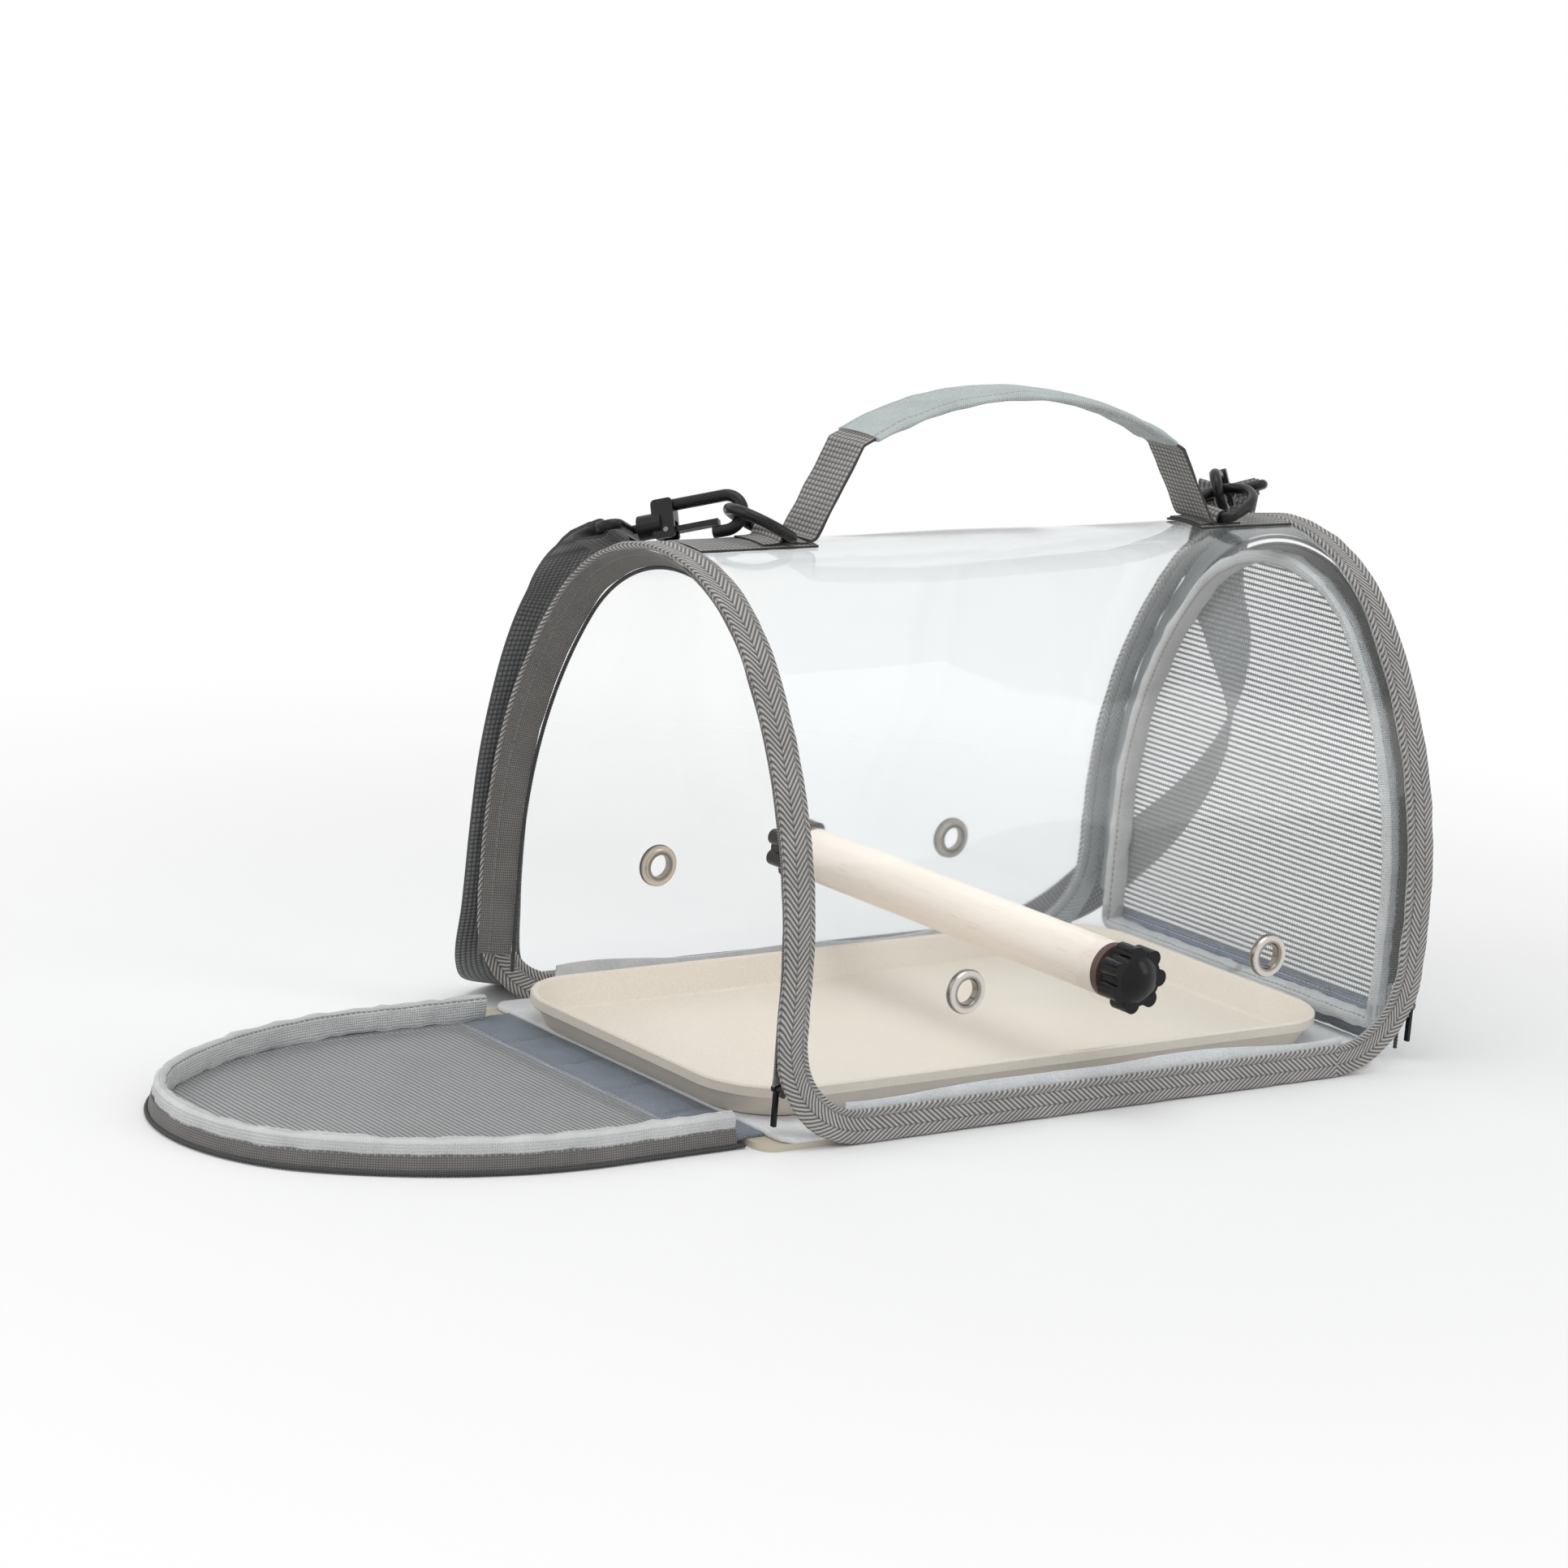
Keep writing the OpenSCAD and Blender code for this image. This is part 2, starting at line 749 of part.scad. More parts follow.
// Snap hook with the ring's rod at the origin, its length towards -X and its back upwards.
module snap_hook() {
    color([0.08, 0.08, 0.08]) difference() {
        union() {
            translate([hook_c, 0, 0]) rotate([90, 0, 0]) rotate([0, 0, -90]) rotate_extrude(angle = 180)
                translate([hook_mid_r, 0]) circle(hook_rod_r);
            translate([hook_c, 0, hook_mid_r]) rotate([0, -90, 0])
                cylinder(r = hook_rod_r, h = hook_c - base_x + 2);
            translate([hook_c, 0, -hook_mid_r]) rotate([0, -90, 0]) cylinder(r = hook_rod_r, h = nose_l);
            translate([base_x - base_l, 0, 0]) rotate([90, 0, 0])
                linear_extrude(2 * base_half, center = true) base_outline();
            translate([base_x - base_l - collar_l, 0, 0]) rotate([0, 90, 0])
                cylinder(r = collar_r, h = collar_l + 4);
        }
        translate([gate_x - gate_root_r - 0.4, -gate_half - 0.15, gate_z - 10])
            cube([base_x - gate_x + gate_root_r + 1, 2 * gate_half + 0.3, gate_root_r + 11.2]);
        gate_axis() cylinder(r = gate_pin_r, h = 2 * base_half + 2, center = true);
        translate([base_x - base_l - collar_l - 1, 0, 0]) rotate([0, 90, 0])
            cylinder(r = stem_r + running_gap, h = 8);
        translate([stem_head_x - 0.2, 0, 0]) rotate([0, 90, 0])
            cylinder(r = stem_head_r + 0.2, h = stem_head_t + 0.4);
    }
}

module base_outline() {
    round_r = 2;
    top = hook_mid_r + hook_rod_r;
    low = gate_z - gate_root_r - 1;
    translate([round_r, low]) square([base_l - 2 * round_r, top - low]);
    translate([0, low + round_r]) square([base_l, top - low - 2 * round_r]);
    for (x = [round_r, base_l - round_r], z = [low + round_r, top - round_r])
        translate([x, z]) circle(round_r, $fn = small_fn);
}

module gate_axis() {
    translate([gate_x, 0, gate_z]) rotate([90, 0, 0]) children();
}

module hook_gate() {
    bar_low = -hook_mid_r + hook_rod_r + 0.3;
    color([0.08, 0.08, 0.08]) difference() {
        union() {
            gate_axis() cylinder(r = gate_root_r, h = 2 * gate_half, center = true);
            translate([gate_x, -gate_half, bar_low]) cube([gate_tip_x - gate_x, 2 * gate_half, 2.6]);
        }
        gate_axis() cylinder(r = gate_pin_r + running_gap, h = 2 * gate_half + 2, center = true);
    }
}

module gate_pin() {
    color("silver") gate_axis() cylinder(r = gate_pin_r, h = 2 * base_half, center = true);
}

// Swivel: a stem with a head inside the hook's collar, and a rectangular eye for the strap.
module swivel_eye(turn) {
    color([0.08, 0.08, 0.08]) rotate([turn, 0, 0]) {
        translate([stem_head_x, 0, 0]) rotate([0, 90, 0]) cylinder(r = stem_head_r, h = stem_head_t);
        translate([eye_top_x, 0, 0]) rotate([0, 90, 0]) cylinder(r = stem_r, h = stem_head_x - eye_top_x + 1);
        for (x = [eye_top_x, eye_x])
            translate([x, 0, 0]) rotate([90, 0, 0])
                cylinder(r = eye_rod_r, h = 2 * (eye_half - bend_r), center = true);
        for (side = [-1, 1]) {
            translate([eye_x + bend_r, side * eye_half, 0]) rotate([0, 90, 0])
                cylinder(r = eye_rod_r, h = eye_top_x - eye_x - 2 * bend_r);
            translate([eye_top_x - bend_r, side * (eye_half - bend_r), 0]) rotate([0, 0, side > 0 ? 0 : -90])
                rod_bend(eye_rod_r);
            translate([eye_x + bend_r, side * (eye_half - bend_r), 0]) rotate([0, 0, side > 0 ? 90 : 180])
                rod_bend(eye_rod_r);
        }
    }
}

module front_ring() on_front_ring() d_ring();

module rear_ring() on_rear_ring() d_ring();

module front_hook() on_front_hook() snap_hook();

module rear_hook() on_rear_hook() snap_hook();

module front_gate() on_front_hook() hook_gate();

module rear_gate() on_rear_hook() hook_gate();

module front_gate_pin() on_front_hook() gate_pin();

module rear_gate_pin() on_rear_hook() gate_pin();

module front_swivel() on_front_hook() swivel_eye(front_eye_turn);

module rear_swivel() on_rear_hook() swivel_eye(rear_eye_turn);

// The strap's route is worked out from the two eyes.
function turn_x(v, a) = [v.x, v.y * cos(a) - v.z * sin(a), v.y * sin(a) + v.z * cos(a)];
function turn_y(v, a) = [v.x * cos(a) + v.z * sin(a), v.y, -v.x * sin(a) + v.z * cos(a)];
function turn_z(v, a) = [v.x * cos(a) - v.y * sin(a), v.x * sin(a) + v.y * cos(a), v.z];
function from_hook(v, lift, turn, drop) = turn_y(turn_z(turn_y(v, -drop), -turn), lift);
function from_ring(lift, turn) = turn_y([-ring_side, 0, 0] + turn_z([-bow_r, 0, 0], -turn), lift);
function front_dir(v) = from_hook(turn_x(v, front_eye_turn), front_ring_lift, front_hook_turn, front_hook_drop);
function front_at(v) = [front_ring_x, 0, ring_z] + from_ring(front_ring_lift, front_hook_turn) + front_dir(v);
function rear_flip(v) = [-v.x, v.y, v.z];
function rear_dir(v) = from_hook(turn_x(v, rear_eye_turn), rear_ring_lift, rear_hook_turn, rear_hook_drop);
function rear_at(v) =
    rear_flip([-rear_ring_x, 0, ring_z] + from_ring(rear_ring_lift, rear_hook_turn) + rear_dir(v));

// Side view of the strap's end, folded round the bar of the eye.
loop_in = eye_rod_r + strap_t / 2 + 0.4;
end_fold = [[eye_x - 12, 0, -2.6], [eye_x - 7, 0, -3.2], [eye_x, 0, -loop_in],
            [eye_x + 0.71 * loop_in, 0, -0.71 * loop_in], [eye_x + loop_in, 0, 0],
            [eye_x + 0.71 * loop_in, 0, 0.71 * loop_in], [eye_x, 0, loop_in], [eye_x - 7, 0, 2],
            [eye_x - 12, 0, 0.6]];
fold_n = len(end_fold);
front_width = front_dir([0, 1, 0]);
rear_width = rear_flip(rear_dir([0, 1, 0]));
floor_strap_z = strap_t / 2 + 0.3;
floor_strap_y = 148;
drop_x = -177;

// Each stop of the route holds a place and the direction of the strap's width there.
free_route = [
    [[-173, 91, 207], [0.95, 0.15, -0.2]],
    [[-176, 101, 182], [1, 0, 0]],
    [[drop_x, 110, 152], [1, 0, 0]],
    [[drop_x, 117, 120], [1, 0, 0]],
    [[drop_x, 120, 88], [1, 0, 0]],
    [[drop_x, 121, 50], [1, -0.1, 0]],
    [[-173, 126, 22], [0.85, -0.5, 0.2]],
    [[-152, 140, 5], [0.4, -0.9, 0.1]],
    [[-120, floor_strap_y, floor_strap_z], [0, -1, 0]],
    [[-60, floor_strap_y, floor_strap_z], [0, -1, 0]],
    [[0, floor_strap_y, floor_strap_z], [0, -1, 0]],
    [[60, floor_strap_y, floor_strap_z], [0, -1, 0]],
    [[120, floor_strap_y, floor_strap_z], [0, -1, 0]],
    [[155, 146, 3], [0, -1, 0]],
    [[185, 137, 17], [0, -1, -0.1]],
    [[200, 114, 44], [-0.1, -0.9, -0.4]],
    [[206, 78, 82], [-0.4, -0.8, -0.4]],
    [[208, 54, 125], [-0.65, -0.75, 0]],
    [[208, 60, 165], [-0.98, -0.1, 0]],
    [[206, 74, 198], [-0.9, 0.4, 0]]];
stops = concat(
    [for (p = end_fold) [front_at(p), front_width]],
    free_route,
    [for (i = [1:fold_n]) [rear_at(end_fold[fold_n - i]), rear_width]]);
stop_n = len(stops);

function stop(i, k) = stops[max(0, min(stop_n - 1, i))][k];
function curve(i, t, k) = 0.5 * (2 * stop(i, k) + (stop(i + 1, k) - stop(i - 1, k)) * t
    + (2 * stop(i - 1, k) - 5 * stop(i, k) + 4 * stop(i + 1, k) - stop(i + 2, k)) * t * t
    + (3 * stop(i, k) - stop(i - 1, k) - 3 * stop(i + 1, k) + stop(i + 2, k)) * t * t * t);
function route(u, k) = let (i = min(stop_n - 2, floor(u))) curve(i, u - i, k);

module shoulder_strap() {
    ring_n = (stop_n - 1) * strap_steps + 1;
    corners = [for (j = [0:ring_n - 1])
        let (u = j / strap_steps, mid = route(u, 0),
             ahead = unit(route(min(stop_n - 1, u + 0.05), 0) - route(max(0, u - 0.05), 0)),
             wide = route(u, 1), across = unit(wide - ahead * (wide * ahead)) * strap_w / 2,
             up = cross(ahead, across) * strap_t / strap_w)
        each [mid + across + up, mid - across + up, mid - across - up, mid + across - up]];
    sides = [for (j = [0:ring_n - 2], k = [0:3])
        let (a = 4 * j + k, b = 4 * j + (k + 1) % 4)
        each [[a, b, b + 4], [a, b + 4, a + 4]]];
    last = 4 * (ring_n - 1);
    ends = [[0, 3, 2], [0, 2, 1], [last, last + 1, last + 2], [last, last + 2, last + 3]];
    color("gray") polyhedron(corners, concat(sides, ends));
}

base_board();
base_lining();
clear_shell();
front_binding();
rear_binding();
near_binding();
far_binding();
front_zip_tape();
front_zip_coil();
rear_zip_tape();
rear_zip_coil();
eyelets();
eyelet_washers();
perch();
perch_end_rings();
perch_inserts();
near_knob();
far_knob();
near_stud();
far_stud();
tray();
front_door_mesh();
front_door_rim();
front_door_tape();
front_door_coil();
front_hinge_strip();
rear_door_mesh();
rear_door_rim();
rear_door_tape();
rear_door_coil();
rear_hinge_strip();
front_zip_slider();
front_zip_pull();
rear_zip_slider();
rear_zip_pull();
front_webbing_tail();
rear_webbing_tail();
handle_webbing();
handle_wrap();
front_ring();
rear_ring();
front_hook();
rear_hook();
front_gate();
rear_gate();
front_gate_pin();
rear_gate_pin();
front_swivel();
rear_swivel();
shoulder_strap();
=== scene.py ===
import json
import math

import bpy
from mathutils import Matrix, Vector, noise
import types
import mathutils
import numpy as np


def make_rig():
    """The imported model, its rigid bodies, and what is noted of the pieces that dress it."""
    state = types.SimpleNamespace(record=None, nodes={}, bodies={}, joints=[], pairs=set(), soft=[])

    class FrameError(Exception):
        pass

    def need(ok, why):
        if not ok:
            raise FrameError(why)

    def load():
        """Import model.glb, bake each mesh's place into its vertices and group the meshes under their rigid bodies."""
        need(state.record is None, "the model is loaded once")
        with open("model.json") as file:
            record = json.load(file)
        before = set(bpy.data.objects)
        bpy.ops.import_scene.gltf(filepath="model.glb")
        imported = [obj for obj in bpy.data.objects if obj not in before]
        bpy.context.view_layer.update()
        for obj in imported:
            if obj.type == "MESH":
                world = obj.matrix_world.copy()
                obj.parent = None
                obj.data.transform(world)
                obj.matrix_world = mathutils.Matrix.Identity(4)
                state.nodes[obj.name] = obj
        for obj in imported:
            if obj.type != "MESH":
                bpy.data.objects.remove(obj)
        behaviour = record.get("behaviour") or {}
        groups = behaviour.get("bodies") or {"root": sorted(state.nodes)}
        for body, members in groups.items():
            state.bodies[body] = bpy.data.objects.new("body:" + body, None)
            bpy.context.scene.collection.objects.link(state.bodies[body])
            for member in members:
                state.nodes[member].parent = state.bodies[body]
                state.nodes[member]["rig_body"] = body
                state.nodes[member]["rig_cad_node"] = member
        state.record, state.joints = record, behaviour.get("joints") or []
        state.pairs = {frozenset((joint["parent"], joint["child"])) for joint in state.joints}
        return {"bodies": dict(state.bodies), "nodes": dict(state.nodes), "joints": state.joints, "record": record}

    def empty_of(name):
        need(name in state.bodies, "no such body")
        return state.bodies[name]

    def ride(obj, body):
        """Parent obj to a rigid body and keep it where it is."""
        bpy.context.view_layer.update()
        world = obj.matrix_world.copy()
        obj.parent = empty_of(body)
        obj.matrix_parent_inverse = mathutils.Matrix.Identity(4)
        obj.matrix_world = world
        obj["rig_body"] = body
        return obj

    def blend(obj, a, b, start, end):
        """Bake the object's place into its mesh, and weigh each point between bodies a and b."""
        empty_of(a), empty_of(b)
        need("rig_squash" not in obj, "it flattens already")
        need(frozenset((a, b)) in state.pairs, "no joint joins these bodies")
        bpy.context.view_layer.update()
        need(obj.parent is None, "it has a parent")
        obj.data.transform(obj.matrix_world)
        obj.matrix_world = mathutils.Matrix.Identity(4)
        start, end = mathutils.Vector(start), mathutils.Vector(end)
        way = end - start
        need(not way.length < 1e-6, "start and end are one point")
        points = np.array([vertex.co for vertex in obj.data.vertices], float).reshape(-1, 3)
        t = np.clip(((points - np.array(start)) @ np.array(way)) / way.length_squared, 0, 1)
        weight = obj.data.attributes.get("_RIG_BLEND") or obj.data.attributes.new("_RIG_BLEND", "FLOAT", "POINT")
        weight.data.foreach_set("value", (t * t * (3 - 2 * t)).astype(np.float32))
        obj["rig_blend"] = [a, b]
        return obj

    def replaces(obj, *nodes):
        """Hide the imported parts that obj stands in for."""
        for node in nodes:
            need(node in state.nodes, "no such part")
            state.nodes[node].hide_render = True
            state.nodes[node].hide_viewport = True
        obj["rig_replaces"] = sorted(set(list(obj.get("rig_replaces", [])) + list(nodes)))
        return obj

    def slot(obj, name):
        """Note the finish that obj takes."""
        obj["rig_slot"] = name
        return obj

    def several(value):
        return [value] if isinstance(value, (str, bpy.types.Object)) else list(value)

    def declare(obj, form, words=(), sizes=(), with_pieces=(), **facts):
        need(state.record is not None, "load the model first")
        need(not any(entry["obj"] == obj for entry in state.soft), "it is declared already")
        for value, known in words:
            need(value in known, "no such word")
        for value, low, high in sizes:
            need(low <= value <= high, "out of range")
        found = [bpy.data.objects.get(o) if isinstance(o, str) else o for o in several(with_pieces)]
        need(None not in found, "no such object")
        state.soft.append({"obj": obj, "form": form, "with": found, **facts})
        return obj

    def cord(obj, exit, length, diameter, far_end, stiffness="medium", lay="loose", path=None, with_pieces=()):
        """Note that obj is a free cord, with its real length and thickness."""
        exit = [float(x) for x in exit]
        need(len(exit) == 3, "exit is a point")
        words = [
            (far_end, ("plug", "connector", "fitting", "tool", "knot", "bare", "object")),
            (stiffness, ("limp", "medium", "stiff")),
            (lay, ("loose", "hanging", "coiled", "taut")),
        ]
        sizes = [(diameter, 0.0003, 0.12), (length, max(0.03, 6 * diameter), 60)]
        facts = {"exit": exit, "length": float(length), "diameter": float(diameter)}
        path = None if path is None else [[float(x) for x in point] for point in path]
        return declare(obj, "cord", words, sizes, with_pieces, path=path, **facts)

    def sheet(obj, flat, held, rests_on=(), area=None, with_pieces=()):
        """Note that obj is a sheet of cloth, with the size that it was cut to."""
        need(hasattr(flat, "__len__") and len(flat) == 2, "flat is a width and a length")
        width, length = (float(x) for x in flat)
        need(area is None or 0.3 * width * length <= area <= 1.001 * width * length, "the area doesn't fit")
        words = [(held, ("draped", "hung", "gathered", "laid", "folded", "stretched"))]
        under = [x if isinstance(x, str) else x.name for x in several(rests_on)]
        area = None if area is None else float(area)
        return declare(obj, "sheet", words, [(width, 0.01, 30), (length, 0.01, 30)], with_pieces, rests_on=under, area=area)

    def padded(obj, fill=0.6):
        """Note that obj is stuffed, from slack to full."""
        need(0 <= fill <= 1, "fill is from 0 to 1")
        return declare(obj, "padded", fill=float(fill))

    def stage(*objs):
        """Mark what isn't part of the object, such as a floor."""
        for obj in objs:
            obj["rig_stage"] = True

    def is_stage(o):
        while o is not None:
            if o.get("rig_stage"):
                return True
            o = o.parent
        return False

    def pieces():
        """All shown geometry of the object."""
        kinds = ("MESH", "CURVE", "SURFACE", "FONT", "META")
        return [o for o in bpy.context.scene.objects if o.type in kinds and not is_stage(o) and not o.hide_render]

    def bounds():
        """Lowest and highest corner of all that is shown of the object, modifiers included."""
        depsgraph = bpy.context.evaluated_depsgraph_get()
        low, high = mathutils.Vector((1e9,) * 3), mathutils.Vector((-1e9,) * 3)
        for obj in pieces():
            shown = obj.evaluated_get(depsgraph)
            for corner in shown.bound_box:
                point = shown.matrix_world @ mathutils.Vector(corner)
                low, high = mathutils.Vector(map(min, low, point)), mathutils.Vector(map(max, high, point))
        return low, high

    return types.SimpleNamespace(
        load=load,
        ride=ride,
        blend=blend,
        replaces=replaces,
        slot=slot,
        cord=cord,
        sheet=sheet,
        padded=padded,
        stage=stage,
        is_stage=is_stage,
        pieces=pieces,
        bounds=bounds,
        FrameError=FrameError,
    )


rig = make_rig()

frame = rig.load()
solid_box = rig.bounds()


# Camera: low, in front of the open door and a little to the near side, with a long lens. Its place and
# turn were fitted to matching points of the photo and the solids.
camera_data = bpy.data.cameras.new("camera")
camera_data.sensor_width = 36
camera_data.lens = 111.8012
camera_data.clip_end = 20
camera = bpy.data.objects.new("camera", camera_data)
bpy.context.collection.objects.link(camera)
camera_place = (-1.400749, -1.673328, 0.602083)
azimuth, elevation, roll = (math.radians(angle) for angle in (232.2861, 12.5824, 4.7562))
camera.matrix_world = (Matrix.Translation(camera_place) @ Matrix.Rotation(azimuth + math.pi / 2, 4, "Z")
                       @ Matrix.Rotation(math.pi / 2 - elevation, 4, "X") @ Matrix.Rotation(roll, 4, "Z"))
bpy.context.scene.camera = camera
bpy.context.scene.view_settings.view_transform = "Standard"


# Room: white all round, with a broad soft lamp overhead and a weaker one on each side.
# The floor is pale and fades out, so that only the shadow under the carrier shows.
def put(tree, kind, settings=None, **sockets):
    """Adds a node. A socket is named, or numbered as i0, i1, and takes a value or another node's output."""
    node = tree.nodes.new("ShaderNode" + kind)
    for key, value in (settings or {}).items():
        setattr(node, key, value)
    for key, value in sockets.items():
        numbered = key[0] == "i" and key[1:].isdigit()
        socket = node.inputs[int(key[1:]) if numbered else key.replace("_", " ")]
        if isinstance(value, bpy.types.NodeSocket):
            tree.links.new(value, socket)
        else:
            socket.default_value = value
    return node


def work_out(tree, operation, first, second=0.0, third=0.0):
    return put(tree, "Math", {"operation": operation}, i0=first, i1=second, i2=third).outputs[0]


def blend_colours(tree, share, low, high):
    mixer = put(tree, "Mix", {"data_type": "RGBA"}, i0=share, i6=low, i7=high)
    return mixer.outputs[2]


def new_finish(name):
    """A material, with its tree, its shader and the coordinates of its surface."""
    finish = bpy.data.materials.new(name)
    finish.use_nodes = True
    tree = finish.node_tree
    return finish, tree, tree.nodes["Principled BSDF"], put(tree, "TexCoord").outputs


def feed(tree, shader, **sockets):
    """Sets or links the sockets of a shader."""
    for key, value in sockets.items():
        socket = shader.inputs[key.replace("_", " ")]
        if isinstance(value, bpy.types.NodeSocket):
            tree.links.new(value, socket)
        else:
            socket.default_value = value


def ease(tree, value, start, end, first, last):
    """Eases from first to last while a value goes from start to end."""
    return put(tree, "MapRange", {"interpolation_type": "SMOOTHSTEP"}, Value=value, From_Min=start,
               From_Max=end, To_Min=first, To_Max=last).outputs[0]


def add_lamp(name, place, aim, size, power):
    light = bpy.data.lights.new(name, "AREA")
    light.shape = "RECTANGLE"
    light.size, light.size_y = size
    light.energy = power
    lamp = bpy.data.objects.new(name, light)
    bpy.context.collection.objects.link(lamp)
    lamp.location = place
    lamp.rotation_euler = (Vector(aim) - Vector(place)).to_track_quat("-Z", "Y").to_euler()


add_lamp("overhead_lamp", (-0.3, -0.2, 2.2), (0, 0, 0.1), (1.6, 1.6), 15)
add_lamp("left_lamp", (-1.9, 0.6, 1.1), (0, 0, 0.12), (1.0, 1.4), 7)
add_lamp("right_lamp", (1.3, -1.7, 1.2), (0, 0, 0.12), (0.9, 1.5), 6)

world = bpy.data.worlds.new("room")
bpy.context.scene.world = world
world.use_nodes = True
room = world.node_tree
path = put(room, "LightPath")
seen = work_out(room, "MAXIMUM", path.outputs["Is Camera Ray"], path.outputs["Is Glossy Ray"])
seen = work_out(room, "MAXIMUM", seen, path.outputs["Is Transmission Ray"])
strength = work_out(room, "MULTIPLY_ADD", seen, 0.42, 0.58)
feed(room, room.nodes["Background"], Color=(1, 1, 1, 1), Strength=strength)

bpy.ops.object.select_all(action="DESELECT")
bpy.ops.mesh.primitive_circle_add(vertices=96, radius=2.6, fill_type="TRIFAN")
floor = bpy.context.object
floor.name = "floor"
pale, tree, shader, layout = new_finish("pale_floor")
reach = put(tree, "VectorMath", {"operation": "LENGTH"}, i0=layout["Object"]).outputs["Value"]
feed(tree, shader, Base_Color=(0.97, 0.972, 0.975, 1), Roughness=0.85,
     Alpha=ease(tree, reach, 0.30, 0.85, 1.0, 0.0))
floor.data.materials.append(pale)
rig.stage(floor)


# Clear sheet: one sheet of clear vinyl bent over from side to side. Its lower corners are round,
# and it has six punched holes for the eyelets.
LEG = 0.072
SIDE_R, SIDE_Y, SIDE_TURN = 0.220, 0.104, math.asin(0.6)
CROWN_R, CROWN_Z = 0.090, 0.150
SIDE_END = LEG + SIDE_R * SIDE_TURN
ARCH_LENGTH = 2 * SIDE_END + CROWN_R * (math.pi - 2 * SIDE_TURN)
HALF_LENGTH, HALF_WIDTH, CORNER_R = 0.188, 0.116, 0.050
SHEET_INSET, SHEET_SHORT, SHEET_LOW = 0.0004, 0.0012, 0.0016
EYELET_PITCH, EYELET_Z, HOLE_R = 0.088, 0.063, 0.0064


def arch_point(along, inset):
    """Y and Z at a length along the arch, from the floor on the near side, drawn in by an inset."""
    if along > ARCH_LENGTH / 2:
        y, z = arch_point(ARCH_LENGTH - along, inset)
        return -y, z
    if along < LEG:
        return inset - HALF_WIDTH, along
    if along < SIDE_END:
        turn = (along - LEG) / SIDE_R
        return SIDE_Y - (SIDE_R - inset) * math.cos(turn), LEG + (SIDE_R - inset) * math.sin(turn)
    turn = SIDE_TURN + (along - SIDE_END) / CROWN_R
    return (inset - CROWN_R) * math.cos(turn), CROWN_Z + (CROWN_R - inset) * math.sin(turn)


def arch_measure(y, z):
    """The length along the arch and the inset of a point."""
    near = -abs(y)
    turn = math.atan2(z - LEG, SIDE_Y - near)
    if z <= LEG:
        along, inset = z, HALF_WIDTH + near
    elif turn < SIDE_TURN:
        along, inset = LEG + SIDE_R * turn, SIDE_R - math.hypot(SIDE_Y - near, z - LEG)
    else:
        turn = math.atan2(z - CROWN_Z, -near)
        along = SIDE_END + CROWN_R * (turn - SIDE_TURN)
        inset = CROWN_R - math.hypot(near, z - CROWN_Z)
    return (along if y < 0 else ARCH_LENGTH - along), inset


def start_sheet(name, across_steps, along_steps, place):
    """A grid shaped into a sheet: place(u, v) gives each point, with both from 0 to 1."""
    bpy.ops.object.select_all(action="DESELECT")
    bpy.ops.mesh.primitive_grid_add(x_subdivisions=across_steps, y_subdivisions=along_steps, size=1)
    sheet = bpy.context.object
    sheet.name = name
    for point in sheet.data.vertices:
        point.co = place(point.co.x + 0.5, point.co.y + 0.5)
    return sheet


def scale_uv(piece, width, length):
    for corner in piece.data.uv_layers[0].data:
        corner.uv = (corner.uv[0] * width, corner.uv[1] * length)


def thicken(piece, thickness, offset=0.0, even=True):
    bpy.context.view_layer.objects.active = piece
    bpy.ops.object.modifier_add(type="SOLIDIFY")
    wall = piece.modifiers[-1]
    wall.thickness = thickness
    wall.offset = offset
    wall.use_even_offset = even
    bpy.ops.object.modifier_apply(modifier=wall.name)


def smooth(piece, angle=40):
    bpy.ops.object.select_all(action="DESELECT")
    piece.select_set(True)
    bpy.context.view_layer.objects.active = piece
    bpy.ops.object.shade_smooth_by_angle(angle=math.radians(angle))


def settle(piece, finish, slot, body, *nodes):
    """Gives a finished piece its material and slot, and puts it in place of its nodes."""
    piece.data.materials.clear()
    piece.data.materials.append(finish)
    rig.slot(piece, slot)
    if body:
        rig.ride(piece, body)
    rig.replaces(piece, *nodes)


def sheet_point(u, v):
    along = SHEET_LOW + v * (ARCH_LENGTH - 2 * SHEET_LOW)
    y, z = arch_point(along, SHEET_INSET)
    short = SHEET_SHORT
    if z < CORNER_R:
        corner = CORNER_R - SHEET_SHORT
        short += corner * (1 - math.sqrt(max(0.0, 1 - ((CORNER_R - z) / corner) ** 2)))
    x = (2 * u - 1) * (HALF_LENGTH - short)
    calm = min(1, max(0, (z - 0.085) / 0.05)) * math.sin(math.pi * u) ** 0.6
    swell = 0.0016 * calm * noise.noise(Vector((x * 9, along * 7, 3)))
    y, z = arch_point(along, SHEET_INSET + swell)
    return x, y, z


clear_sheet = start_sheet("clear_sheet", 64, 160, sheet_point)
thicken(clear_sheet, 0.0007)
bpy.ops.object.select_all(action="DESELECT")
for x in (-EYELET_PITCH, 0, EYELET_PITCH):
    bpy.ops.mesh.primitive_cylinder_add(vertices=24, radius=HOLE_R, depth=0.3, location=(x, 0, EYELET_Z),
                                        rotation=(math.pi / 2, 0, 0))
    punch = bpy.context.object
    bpy.context.view_layer.objects.active = clear_sheet
    bpy.ops.object.modifier_add(type="BOOLEAN")
    hole = clear_sheet.modifiers[-1]
    hole.operation = "DIFFERENCE"
    hole.object = punch
    bpy.ops.object.modifier_apply(modifier=hole.name)
    bpy.data.objects.remove(punch)
smooth(clear_sheet)


def clouds(tree, spot, scale, detail=2.0):
    return put(tree, "TexNoise", None, Vector=spot, Scale=scale, Detail=detail).outputs[0]


